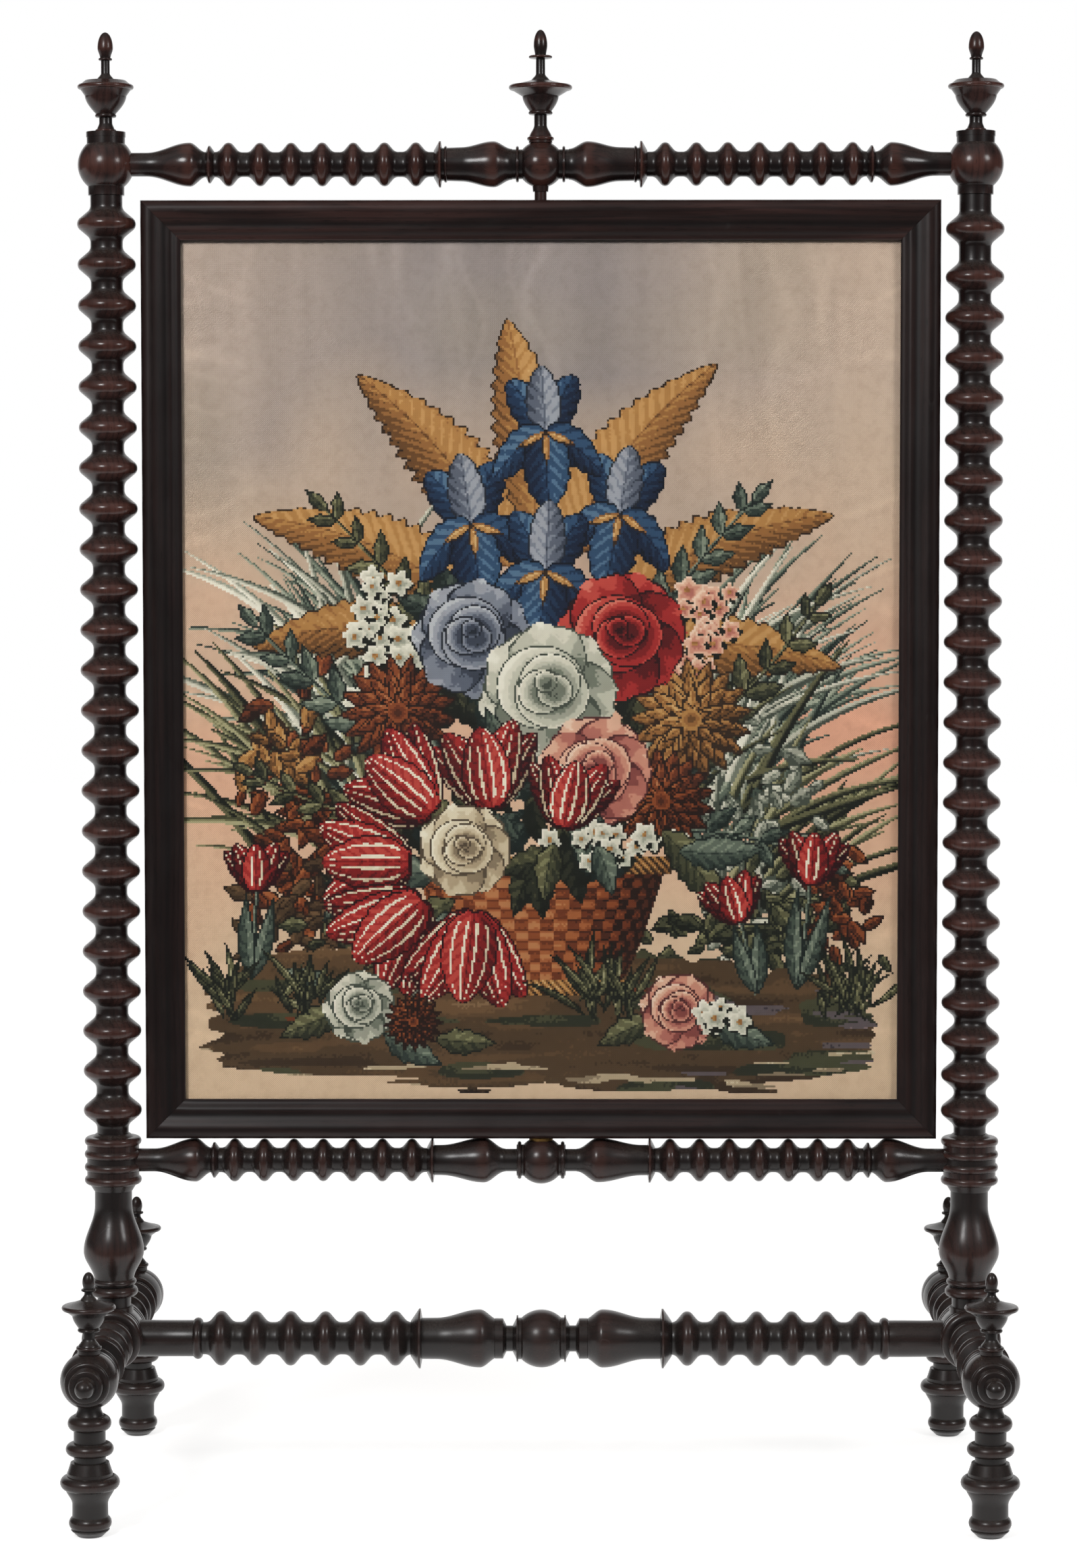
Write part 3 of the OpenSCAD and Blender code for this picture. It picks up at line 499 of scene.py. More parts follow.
def old_metal(name, clean, tarnish, roughness):
    """Turned or drawn metal with tarnish and fine scratches."""
    if name in bpy.data.materials:
        return bpy.data.materials[name]
    material, shader, surface, _ = new_material(name)
    place = object_place(shader)
    scratches = shader.group(scratch_group(), {"Vector": place, "Scale": 1.0})["Scratches"]
    patches = shader.ramp(shader.noise(place, 160, 4, 0.65), 0.42, 0.66)
    turning = shader.noise(shader.stretch(place, (40, 40, 4200)), 1.0, 2, 0.5)
    base = shader.mix(patches, (*linear(*clean), 1), (*linear(*tarnish), 1))
    shader.feed(surface.inputs["Base Color"], shader.mix(
        shader.math("MULTIPLY", scratches, 0.3), base, (*linear(*clean), 1)))
    surface.inputs["Metallic"].default_value = 1.0
    shader.feed(surface.inputs["Roughness"], shader.math(
        "MULTIPLY_ADD", patches, 0.25, shader.ramp(turning, 0.3, 0.7, roughness, roughness + 0.12)))
    bump = shader.node("ShaderNodeBump", {
        "Height": shader.math("MULTIPLY_ADD", scratches, -0.4, turning), "Strength": 0.25, "Distance": 0.00005})
    shader.feed(surface.inputs["Normal"], bump.outputs[0])
    return material


def brass():
    return old_metal("Old brass", (150, 116, 66), (62, 46, 30), 0.36)


def steel():
    return old_metal("Old steel", (142, 140, 138), (70, 58, 50), 0.34)


def window_glass():
    """Thin old glass, clear and a little uneven, that lets the lamps through."""
    if "Old glass" in bpy.data.materials:
        return bpy.data.materials["Old glass"]
    material, shader, surface, output = new_material("Old glass")
    place = object_place(shader)
    surface.inputs["Base Color"].default_value = (*linear(252, 253, 252), 1)
    surface.inputs["Transmission Weight"].default_value = 1.0
    surface.inputs["IOR"].default_value = 1.45
    smears = shader.ramp(shader.noise(shader.stretch(place, (1, 1, 0.6)), 9, 4, 0.6), 0.5, 0.8)
    shader.feed(surface.inputs["Roughness"], shader.math("MULTIPLY", smears, 0.03))
    bump = shader.node("ShaderNodeBump", {
        "Height": shader.noise(place, 5, 1, 0.4), "Strength": 0.05, "Distance": 0.0004})
    shader.feed(surface.inputs["Normal"], bump.outputs[0])
    clear = shader.node("ShaderNodeBsdfTransparent", {"Color": (*linear(252, 253, 252), 1)})
    light_path = shader.node("ShaderNodeLightPath")
    either = shader.node("ShaderNodeMixShader", {
        0: light_path.outputs["Is Shadow Ray"], 1: surface.outputs[0], 2: clear.outputs[0]})
    shader.tree.links.new(either.outputs[0], output.inputs["Surface"])
    return material


def stitched_wool(settings, origin):
    """Cross stitch in wool: each stitch has its wool colour, and two crossed strands of yarn."""
    material, shader, surface, _ = new_material("Cross stitch wool")
    place = object_place(shader)
    pitch = settings.stitch
    split = shader.node("ShaderNodeSeparateXYZ", {0: place})
    column = shader.math("DIVIDE", shader.math("SUBTRACT", split.outputs["X"], origin[0]), pitch)
    row = shader.math("DIVIDE", shader.math("SUBTRACT", split.outputs["Z"], origin[1]), pitch)
    u = shader.math("FRACT", column)
    v = shader.math("FRACT", row)
    over = shader.math("ABSOLUTE", shader.math("SUBTRACT", u, v))
    under = shader.math("ABSOLUTE", shader.math("SUBTRACT", shader.math("ADD", u, v), 1.0))
    top_yarn = shader.ramp(over, 0.42, 0.0)
    low_yarn = shader.math("MULTIPLY", shader.ramp(under, 0.4, 0.0), 0.72)
    yarn = shader.math("MAXIMUM", top_yarn, low_yarn)
    edge = shader.math("MINIMUM", shader.math("PINGPONG", u, 0.5), shader.math("PINGPONG", v, 0.5))
    hole = shader.ramp(edge, 0.1, 0.0)
    fibre = shader.noise(shader.stretch(place, (3800, 3800, 3800)), 1.0, 2, 0.7)
    mottle = shader.noise(place, 130, 3, 0.6)
    colour = shader.attribute("wool", "Color")
    shaded = shader.mix(shader.math("MULTIPLY", shader.ramp(yarn, 0.8, 0.1), 0.34), colour, (
        *linear(58, 44, 38), 1), "MULTIPLY")
    tufted = shader.mix(shader.ramp(fibre, 0.3, 0.7, 0.0, 0.08), shaded, (*linear(255, 246, 232), 1), "SOFT_LIGHT")
    soiled = shader.mix(shader.ramp(mottle, 0.4, 0.75, 0.0, 0.12), tufted, (*linear(150, 128, 104), 1), "MULTIPLY")
    shader.feed(surface.inputs["Base Color"], soiled)
    surface.inputs["Roughness"].default_value = 0.86
    surface.inputs["Sheen Weight"].default_value = 0.04
    surface.inputs["Sheen Roughness"].default_value = 0.45
    surface.inputs["Specular IOR Level"].default_value = 0.2
    relief = shader.math("MULTIPLY_ADD", fibre, 0.25, yarn)
    relief = shader.math("MULTIPLY_ADD", hole, -0.5, relief)
    bump = shader.node("ShaderNodeBump", {"Height": relief, "Strength": 0.3, "Distance": 0.0005})
    shader.feed(surface.inputs["Normal"], bump.outputs[0])
    return material


class Turning:
    """Outline of a turned piece: its radius at every station along its length, in millimetres."""

    def __init__(self, start, end, mirrored=False):
        count = round((end - start) / STATION_STEP)
        self.station = np.linspace(start, end, count + 1)
        self.along = np.abs(self.station) if mirrored else self.station
        self.radius = np.zeros(count + 1)

    def widen(self, radius, inside):
        self.radius = np.where(inside, np.maximum(self.radius, radius), self.radius)

    def share(self, t0, t1):
        """How far each station lies from t0 to t1, and whether it lies between them."""
        share = (self.along - t0) / (t1 - t0)
        return share, (share >= -1e-9) & (share <= 1 + 1e-9)

    def core(self, t0, t1, r0, r1):
        share, inside = self.share(t0, t1)
        self.widen(r0 + (r1 - r0) * share, inside)

    def swell(self, t0, t1, r0, r1):
        share, inside = self.share(t0, t1)
        self.widen(r0 + (r1 - r0) * (1 - np.cos(np.pi * share)) / 2, inside)

    def bowl(self, t0, t1, r0, r1):
        share, inside = self.share(t0, t1)
        self.widen(r0 + (r1 - r0) * np.sin(np.pi / 2 * share), inside)

    def tip(self, t0, t1, r):
        share, inside = self.share(t0, t1)
        self.widen(r * np.sqrt(np.clip(1 - share ** 2, 0, 1)), inside)

    def bead(self, t, r, nose):
        height = nose ** 2 - (self.along - t) ** 2
        self.widen(r - nose + np.sqrt(np.clip(height, 0, None)), height >= 0)

    def ring(self, t, r, nose):
        self.bead(t, r, nose)
        self.core(t - 0.95 * nose, t + 0.95 * nose, r - nose, r - nose)

    def ball(self, t, r):
        self.bead(t, r, r)

    def blade(self, t, r, inner_r, outer_r, inner_l, outer_l):
        half = BLADE_TIP / 2
        self.core(t - inner_l, t - half, inner_r, r)
        self.core(t - half, t + half, r, r)
        self.core(t + half, t + outer_l, r, outer_r)

    def bobbin(self, t, r, nose, valley, cove):
        """Rounded nose whose straight flanks run down into its valleys by a cove on each side."""
        slope = math.tan(BOBBIN_FLANK)
        sine = math.sin(BOBBIN_FLANK)
        cosine = math.cos(BOBBIN_FLANK)
        nose_c = r - nose
        cove_c = valley + cove
        reach = (nose + cove - (cove_c - nose_c) * cosine) / sine
        away = np.abs(self.along - t)
        flank = nose_c + nose / cosine - away * slope
        hollow = cove_c - np.sqrt(np.clip(cove ** 2 - (reach - away) ** 2, 0, None))
        self.bead(t, r, nose)
        self.widen(flank, (away >= nose * sine) & (away <= reach - cove * sine))
        self.widen(hollow, (away >= reach - cove * sine) & (away <= reach))

    def bobbins(self, stations, size):
        for t in stations:
            self.bobbin(t, **size)

    def groove(self, t, centre_r, r):
        depth = r ** 2 - (self.along - t) ** 2
        cut = centre_r - np.sqrt(np.clip(depth, 0, None))
        self.radius = np.where(depth > 0, np.minimum(self.radius, cut), self.radius)

    def urn(self, base_r, base_h, stem_r, ring_h, ring_r, bowl_h, bowl_r, pan_h, pan_r, shoulder_r,
            neck_r, knop_h, knop_r, acorn_h, acorn_r, tip_h):
        """Urn finial: base, stem, bowl, wide pan, thin neck, knop and acorn."""
        edge = 2
        shoulder_h = 5
        foot_nose = min(1.6, base_h / 2)
        flare_h = base_h + (ring_h - base_h) * 0.5
        self.core(0, base_h, base_r * 0.88, base_r * 0.88)
        self.bead(base_h - foot_nose, base_r, foot_nose)
        self.swell(base_h - 1, flare_h, base_r * 0.85, stem_r)
        self.core(0, ring_h, stem_r, stem_r)
        self.ring(ring_h, ring_r, 1.4)
        self.bowl(ring_h, bowl_h, ring_r - 2, bowl_r)
        self.core(bowl_h - 1, pan_h - edge * 0.8, bowl_r, pan_r - edge)
        self.bead(pan_h, pan_r, edge)
        self.core(pan_h - edge * 0.8, pan_h + edge * 0.8, pan_r - edge, pan_r - edge)
        self.core(pan_h + edge * 0.8, pan_h + shoulder_h, pan_r - edge, shoulder_r)
        self.core(pan_h + shoulder_h, pan_h + shoulder_h + 0.8, shoulder_r, neck_r * 2)
        self.swell(pan_h + shoulder_h, pan_h + shoulder_h + 6, neck_r * 2, neck_r)
        self.core(pan_h + shoulder_h, knop_h + 2, neck_r, neck_r)
        self.ring(knop_h, knop_r, 1)
        self.swell(knop_h + 0.8, acorn_h, neck_r * 1.2, acorn_r)
        self.tip(acorn_h, tip_h, acorn_r)


def even(first, last, count):
    """Evenly spaced stations from first to last, count + 1 of them."""
    return np.linspace(first, last, count + 1)


def upright_outline(side):
    seat = FOOT_RAIL_H + math.sqrt(FOOT_BLOCK_R ** 2 - FOOT_SEAT_R ** 2)
    belly = LOWER_RAIL_H - 75
    block_half = 1.5 * RING_STEP
    block_z0 = LOWER_RAIL_H - block_half
    block_z1 = LOWER_RAIL_H + block_half
    core_r = RING_BLOCK_R - 2
    first = LOWER_RAIL_H + 41.1
    last = TOP_RAIL_H - 47.5
    count = round((last - first) / UPRIGHT_PITCH)
    heights = even(first, last, count)
    if side > 0:
        crowded = first + CROWDED_PITCH * np.arange(CROWDED_BOBBINS)
        rest = even(first + CROWDED_BOBBINS * CROWDED_PITCH, last - RIGHT_DROP - OPEN_PITCH,
                    count - CROWDED_BOBBINS - 1)
        heights = np.concatenate([crowded, rest, [last - RIGHT_DROP]])
    line = Turning(seat - 6, UPRIGHT_TOP)
    line.core(seat - 6, seat + 5, FOOT_SEAT_R, FOOT_SEAT_R)
    line.core(seat, belly - 22, 13.4, 14.4)
    line.ring((seat + belly - 15) / 2, 19.6, 4.2)
    line.ring(belly - 25, 18.4, 2.4)
    line.swell(belly - 24, belly, 16.2, BALUSTER_R)
    line.swell(belly, belly + 38, BALUSTER_R, 15.3)
    line.core(belly + 38, block_z0 - 9, 15.3, 15.3)
    line.core(block_z0 - 9, block_z0, 15.8, core_r)
    line.core(block_z0, block_z1, core_r, core_r)
    line.core(block_z1, block_z1 + 6, core_r, 14.2)
    for i in range(4):
        line.bead(block_z0 + RING_STEP * i, RING_BLOCK_R, 3.6)
    valley = UPRIGHT_BOBBIN["valley"]
    line.core(block_z1, TOP_RAIL_H - 18, valley, valley)
    line.bobbins(heights, UPRIGHT_BOBBIN)
    line.core(TOP_RAIL_H - 24.5, TOP_RAIL_H - 17, 14.7, 14.7)
    line.ball(TOP_RAIL_H, TOP_BALL_R)
    line.core(TOP_RAIL_H + 15, TOP_RAIL_H + 22, 15.4, 15.4)
    line.core(TOP_RAIL_H + 22, UPRIGHT_TOP, 15.8, 15.8)
    return line


def rail_stations(inward, outward):
    """Stations of the bobbins on one half of the top or lower rail."""
    first = 102.8
    last = HALF_SPACING - 99
    return even(first + inward, last - outward, round((last - first) / RAIL_PITCH))


def top_rail_outline():
    end = HALF_SPACING - 10.5
    vase = HALF_SPACING - 67.5
    valley = RAIL_BOBBIN["valley"]
    bobbin_r = RAIL_BOBBIN["r"]
    line = Turning(-end, end, mirrored=True)
    line.ball(0, TOP_MIDDLE_R)
    line.core(0, 28, 12, 12)
    line.ring(18.8, 14.6, 1.2)
    line.swell(23, 38, 12.4, RAIL_VASE_R)
    line.swell(38, 64, RAIL_VASE_R, 13.7)
    line.core(64, 81, 13.7, 13.3)
    line.ring(76.5, 14.8, 1.1)
    line.blade(81, bobbin_r + 1.2, 13.3, valley + 1, 1.6, 5)
    line.core(81, vase - 10, valley, valley)
    line.bobbins(rail_stations(-2.4, 0), RAIL_BOBBIN)
    line.blade(vase - 16, bobbin_r - 2.6, valley, valley, 4, 3)
    line.swell(vase - 13, vase, valley, RAIL_VASE_R - 0.7)
    line.swell(vase, vase + 35, RAIL_VASE_R - 0.7, RAIL_END_R)
    line.core(vase + 35, end, RAIL_END_R, RAIL_END_R)
    return line


def lower_rail_outline():
    end = HALF_SPACING - 12.5
    vase = HALF_SPACING - 67.8
    valley = RAIL_BOBBIN["valley"]
    bobbin_r = RAIL_BOBBIN["r"]
    line = Turning(-end, end, mirrored=True)
    line.ball(0, LOWER_MIDDLE_R)
    line.core(0, 20, 13, 13)
    line.ring(17.6, 15.6, 1.6)
    line.core(0, 32, 9.4, 9.4)
    line.swell(29, 46.5, 9.6, RAIL_VASE_R)
    line.swell(46.5, 82, RAIL_VASE_R, 12.6)
    line.core(82, 89, 12.6, 12.6)
    line.blade(88.5, bobbin_r + 1, 12.6, valley + 0.9, 1.6, 4.5)
    line.core(88, vase - 10, valley, valley)
    line.bobbins(rail_stations(2.5, 0.5), RAIL_BOBBIN)
    line.blade(vase - 15, bobbin_r - 3, valley, valley, 4, 3)
    line.swell(vase - 13, vase, valley, RAIL_VASE_R - 0.4)
    line.swell(vase, vase + 34, RAIL_VASE_R - 0.4, RAIL_END_R)
    line.core(vase + 34, end, RAIL_END_R, RAIL_END_R)
    return line


def stretcher_outline():
    end = HALF_SPACING - 18.5
    ring = HALF_SPACING - 68.8
    first = 119.5
    last = HALF_SPACING - 87.7
    valley = STRETCHER_BOBBIN["valley"]
    line = Turning(-end, end, mirrored=True)
    line.ball(0, STRETCHER_VASE_R)
    line.core(0, 20.3, 17.2, 17.2)
    line.core(19, 20.3, 19.2, 19.2)
    line.core(20.3, 23.5, 17.2, 10.7)
    line.core(23, 30, 10.7, 10.7)
    line.core(28.5, 31.4, 10.7, 16.6)
    line.core(31.4, 38, 16.6, 16.6)
    line.swell(35, 50.5, 15.5, STRETCHER_VASE_R)
    line.swell(50.5, 86, STRETCHER_VASE_R, 16.9)
    line.core(86, 99, 16.9, 16.8)
    line.blade(99.4, STRETCHER_BOBBIN["r"] + 2.2, 16.8, valley + 1, 2, 7.5)
    line.core(99, ring, valley, valley)
    line.bobbins(even(first, last, round((last - first) / STRETCHER_PITCH)), STRETCHER_BOBBIN)
    line.bead(ring, STRETCHER_END_R + 2.2, 3.9)
    line.core(ring - 3, ring + 4, STRETCHER_END_R - 0.6, STRETCHER_END_R - 0.6)
    line.core(ring + 2, end, STRETCHER_END_R, STRETCHER_END_R)
    return line


def foot_rail_outline():
    toe = FOOT_REACH
    block_l = 22
    valley = FOOT_BOBBIN["valley"]
    first = 44
    last = toe - 78
    line = Turning(-toe - 41.5, toe + 41.5, mirrored=True)
    line.core(0, block_l, FOOT_BLOCK_R, FOOT_BLOCK_R)
    line.bead(block_l, FOOT_BLOCK_R, 4.5)
    line.core(block_l, block_l + 7, FOOT_BLOCK_R - 4.5, 17)
    line.core(0, toe - 40, valley, valley)
    line.bobbins(even(first, last, round((last - first) / FOOT_PITCH)), FOOT_BOBBIN)
    line.blade(toe - 56, FOOT_BOBBIN["r"] + 1.5, valley, valley, 4, 4)
    line.swell(toe - 50, toe - 8, valley, TOE_R - 0.8)
    for back, r, nose in ((42, 16.4, 2), (35.5, 18.6, 2.2), (28.5, 20.8, 2.4)):
        line.bead(toe - back, r, nose)
    line.ball(toe, TOE_R)
    line.core(toe, toe + 16, 17, 17)
    line.bead(toe + 16, 18, 2.4)
    line.core(toe + 16, toe + 25, 14.5, 12.5)
    line.bead(toe + 25, 13.4, 2)
    line.core(toe + 25, toe + 32, 9.5, 6.5)
    line.ball(toe + 34, 7.5)
    for t in (11, 17):
        line.groove(t, FOOT_BLOCK_R + 0.8, 1.8)
    return line


def foot_outline():
    top = FOOT_RAIL_H - math.sqrt(TOE_R ** 2 - FOOT_NECK_R ** 2)
    ring = top - 59
    line = Turning(0, top + 4)
    line.core(0, 5, 9.8, 15)
    line.bead(10.6, FOOT_STEM_R + 2.5, 6)
    line.core(4, ring - 8, FOOT_STEM_R, FOOT_STEM_R)
    line.swell(ring - 17, ring - 3, FOOT_STEM_R, FOOT_RING_R - 3.6)
    line.bead(ring, FOOT_RING_R, 5.5)
    line.core(ring - 3, ring + 8, FOOT_RING_R - 5, FOOT_RING_R - 5.6)
    line.core(ring + 8, ring + 16, FOOT_RING_R - 5.8, FOOT_STEM_R + 0.8)
    line.core(ring + 8, top - 6, 12.4, 12.4)
    line.bead(top - 32.6, FOOT_STEM_R + 4.4, 5)
    line.bead(top - 12.2, FOOT_STEM_R + 2.8, 6)
    line.core(top - 7, top - 2, 11.5, FOOT_NECK_R)
    line.core(top - 2, top + 4, FOOT_NECK_R, FOOT_NECK_R)
    return line


def side_finial_outline():
    h = corners_mm("left_finial")[1][2] - UPRIGHT_TOP
    line = Turning(0, h)
    line.urn(8.5, 2.2, 5.3, 13, 8.6, 30, 16.8, 36, 22.6, 16.5, 3.6, h - 21.6, 5.6, h - 12.6, 6.3, h)
    return line


def centre_finial_outline(seat):
    low, high = corners_mm("centre_finial")
    h = high[2] - seat
    line = Turning(low[2] - seat, h)
    line.core(low[2] - seat, 1, SPINDLE_R, SPINDLE_R)
    line.urn(10.9, 5, 5.2, 24, 9.8, 38.3, 14.7, 44.3, 25.5, 10, 3.8, h - 21.7, 9.6, h - 12.5, 5.6, h)
    return line


def toe_finial_outline(seat):
    h = corners_mm("front_left_toe_finial")[1][2] - seat
    line = Turning(0, h)
    line.urn(10, 6, 4.7, 18.5, 8.8, 31, 13, 36, 21, 9, 3.4, h - 14, 5.8, h - 8.2, 4.9, h)
    return line


def wander(station, wavelength, rng):
    """Smooth random line from -1 to 1 along the stations."""
    knots = np.arange(station[0] - wavelength, station[-1] + 2 * wavelength, wavelength)
    heights = rng.uniform(-1, 1, len(knots))
    place = (station - knots[0]) / wavelength
    low = np.floor(place).astype(int)
    share = place - low
    share = share ** 2 * (3 - 2 * share)
    return heights[low] * (1 - share) + heights[low + 1] * share


def crown_of(radius):
    """How high each station stands between the hollows and crowns near it, from 0 to 1."""
    reach = round(CROWN_REACH / STATION_STEP)
    padded = np.pad(radius, reach, mode="edge")
    near = np.lib.stride_tricks.sliding_window_view(padded, 2 * reach + 1)[:, ::4]
    low = near.min(axis=1)
    high = near.max(axis=1)
    depth = high - low
    return np.where(depth > 1.2, (radius - low) / np.maximum(depth, 1.2), 0.55)


def fewest_points(points, tolerance):
    """Indices of the points that keep a line within tolerance of its full shape."""
    keep = np.zeros(len(points), bool)
    keep[[0, -1]] = True
    spans = [(0, len(points) - 1)]
    while spans:
        first, last = spans.pop()
        if last - first < 2:
            continue
        chord = points[last] - points[first]
        inner = points[first + 1:last] - points[first]
        away = np.abs(inner[:, 0] * chord[1] - inner[:, 1] * chord[0]) / np.hypot(*chord)
        furthest = int(away.argmax())
        if away[furthest] > tolerance:
            middle = first + 1 + furthest
            keep[middle] = True
            spans.append((first, middle))
            spans.append((middle, last))
    return np.flatnonzero(keep)


AXES = {"X": ((0, 1, 0), (0, 0, 1), (1, 0, 0)), "Y": ((0, 0, 1), (1, 0, 0), (0, 1, 0)),
        "Z": ((1, 0, 0), (0, 1, 0), (0, 0, 1))}


def turned_shape(line, axis, origin, wobble, rng):
    """Points in millimetres, faces, crown and grain place of one turning about an axis."""
    station = line.station
    ease = np.clip(np.minimum(station - station[0], station[-1] - station) / 18, 0, 1)
    crown = crown_of(line.radius)
    shifted = station + 0.6 * wobble * wander(station, 41, rng) * ease
    radius = line.radius - wobble * 0.5 * (1 + wander(station, 26, rng)) * ease
    keep = fewest_points(np.column_stack([shifted, radius]), OUTLINE_TOLERANCE)
    keep = keep[(radius[keep] > 0.08) | (keep == 0) | (keep == len(station) - 1)]
    shifted = shifted[keep]
    radius = np.maximum(radius[keep], 0.02)
    crown = crown[keep]
    turn = np.arange(TURNING_SIDES) * 2 * np.pi / TURNING_SIDES
    first, second, along = (np.array(v, float) for v in AXES[axis])
    spoke = np.cos(turn)[:, None] * first + np.sin(turn)[:, None] * second
    rings = radius[:, None, None] * spoke + shifted[:, None, None] * along
    ends = np.array([shifted[0] * along, shifted[-1] * along])
    points = np.concatenate([rings.reshape(-1, 3), ends]) + np.array(origin, float)
    sides = np.stack([np.cos(turn), np.sin(turn)], axis=1)
    flat = np.concatenate([
        np.concatenate([radius[:, None, None] * sides, np.broadcast_to(
            shifted[:, None, None], (len(shifted), TURNING_SIDES, 1))], axis=2).reshape(-1, 3),
        [[0, 0, shifted[0]], [0, 0, shifted[-1]]]])
    ring_no, side_no = np.meshgrid(np.arange(len(shifted) - 1), np.arange(TURNING_SIDES), indexing="ij")
    here = ring_no * TURNING_SIDES + side_no
    beside = ring_no * TURNING_SIDES + (side_no + 1) % TURNING_SIDES
    walls = np.stack([here, beside, beside + TURNING_SIDES, here + TURNING_SIDES], axis=-1).reshape(-1, 4)
    side_no = np.arange(TURNING_SIDES)
    next_no = (side_no + 1) % TURNING_SIDES
    last = (len(shifted) - 1) * TURNING_SIDES
    low_pole = len(points) - 2
    caps = np.concatenate([
        np.stack([next_no, side_no, np.full(TURNING_SIDES, low_pole)], axis=1),
        np.stack([last + side_no, last + next_no, np.full(TURNING_SIDES, low_pole + 1)], axis=1)])
    crowns = np.concatenate([np.repeat(crown, TURNING_SIDES), [crown[0], crown[-1]]])
    return points, [walls, caps], crowns, flat


def joined(shapes):
    """Several shapes as one."""
    count = 0
    quads = []
    tris = []
    for points, (walls, caps), _, _ in shapes:
        quads.append(walls + count)
        tris.append(caps + count)
        count += len(points)
    return (np.concatenate([s[0] for s in shapes]), [np.concatenate(quads), np.concatenate(tris)],
            np.concatenate([s[2] for s in shapes]), np.concatenate([s[3] for s in shapes]))


def new_mesh(name, points, faces):
    """Mesh from points in metres and arrays of corner numbers, one array for each number of corners."""
    mesh = bpy.data.meshes.new(name)
    corners = np.concatenate([part.ravel() for part in faces]).astype(np.int32)
    sizes = np.concatenate([np.full(len(part), part.shape[1]) for part in faces])
    starts = np.concatenate([[0], np.cumsum(sizes)[:-1]]).astype(np.int32)
    mesh.vertices.add(len(points))
    mesh.vertices.foreach_set("co", points.astype(np.float32).ravel())
    mesh.loops.add(len(corners))
    mesh.loops.foreach_set("vertex_index", corners)
    mesh.polygons.add(len(sizes))
    mesh.polygons.foreach_set("loop_start", starts)
    mesh.update(calc_edges=True)
    mesh.validate()
    return mesh


def add_number(mesh, name, values):
    mesh.attributes.new(name, "FLOAT", "POINT").data.foreach_set("value", values.astype(np.float32))


def add_dullness(mesh, points):
    """How far the finish turns rougher, greyer and less red, which it does towards the floor."""
    share = np.clip((DULL_FROM - points[:, 2]) / (DULL_FROM - DULL_TO), 0, 1)
    add_number(mesh, "dull", share ** 2 * (3 - 2 * share))


def add_vector(mesh, name, values):
    mesh.attributes.new(name, "FLOAT_VECTOR", "POINT").data.foreach_set(
        "vector", values.astype(np.float32).ravel())


def new_piece(name, mesh, material, body, nodes):
    """Shown piece that rides on a body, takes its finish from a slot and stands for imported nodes."""
    mesh.materials.append(material)
    piece = bpy.data.objects.new(name, mesh)
    bpy.context.scene.collection.objects.link(piece)
    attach(piece, body)
    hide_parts(*nodes)
    return piece


def turned_piece(name, node, shape, tone, rng, settings):
    """One turned wooden piece of the stand."""
    points, faces, crowns, flat = shape
    mesh = new_mesh(name, points * MM, faces)
    mesh.shade_smooth()
    mesh.set_sharp_from_angle(angle=SHARP_ANGLE)
    add_number(mesh, "crown", crowns)
    add_number(mesh, "tone", np.full(len(points), tone))
    add_dullness(mesh, points)
    add_vector(mesh, "grain", flat * MM + rng.uniform((0.03, 0.02, -3), (0.07, 0.05, 3)))
    return new_piece(name, mesh, turned_wood(settings), "stand", [node])


def make_rng(name):
    """Random source of a piece, the same on every run."""
    return np.random.default_rng(sum(ord(letter) * (place + 7) for place, letter in enumerate(name)))


class FIRESCREEN_OT_stage(bpy.types.Operator):
    """Add the camera, the pale floor and the soft light"""

    bl_idname = "fire_screen.stage"
    bl_label = "Stage"

    def execute(self, context):
        settings = context.scene.fire_screen.stage
        add_camera(context.scene)
        add_floor(context.scene, settings)
        add_lamps(context.scene, settings)
        add_surroundings(context.scene, settings)
        return {"FINISHED"}


def add_camera(scene):
    """Camera that sees the object as the photograph does."""
    yaw, pitch, roll = CAMERA_YAW, CAMERA_PITCH, CAMERA_ROLL
    forward = Vector((math.sin(yaw) * math.cos(pitch), math.cos(yaw) * math.cos(pitch), -math.sin(pitch)))
    right = Vector((math.cos(yaw), -math.sin(yaw), 0))
    up = right.cross(forward)
    tilted_right = math.cos(roll) * right + math.sin(roll) * up
    tilted_up = -math.sin(roll) * right + math.cos(roll) * up
    data = bpy.data.cameras.new("Photograph camera")
    data.sensor_fit = "VERTICAL"
    data.sensor_height = SENSOR
    data.sensor_width = SENSOR
    data.lens = FOCAL_PIXELS / PHOTO_HEIGHT * SENSOR
    camera = bpy.data.objects.new("Photograph camera", data)
    turn = Matrix((tilted_right, tilted_up, -forward)).transposed()
    camera.matrix_world = Matrix.Translation(CAMERA_PLACE) @ turn.to_4x4()
    scene.collection.objects.link(camera)
    scene.camera = camera


def backdrop_rays(shader):
    """Rays that see the backdrop plainly, those that see it mirrored, and strays that lit cloth sends out."""
    path = shader.node("ShaderNodeLightPath").outputs
    unscattered = shader.math("LESS_THAN", path["Diffuse Depth"], 0.5)
    bounced = shader.math("GREATER_THAN", path["Glossy Depth"], 0.5)
    through = shader.math("MULTIPLY", path["Is Transmission Ray"], unscattered)
    plain = shader.math("MAXIMUM", path["Is Camera Ray"], shader.math("SUBTRACT", through, bounced))
    mirrored = shader.math("MAXIMUM", path["Is Glossy Ray"], shader.math("MULTIPLY", through, bounced))
    strays = shader.math("SUBTRACT", path["Is Transmission Ray"], unscattered)
    return plain, mirrored, strays


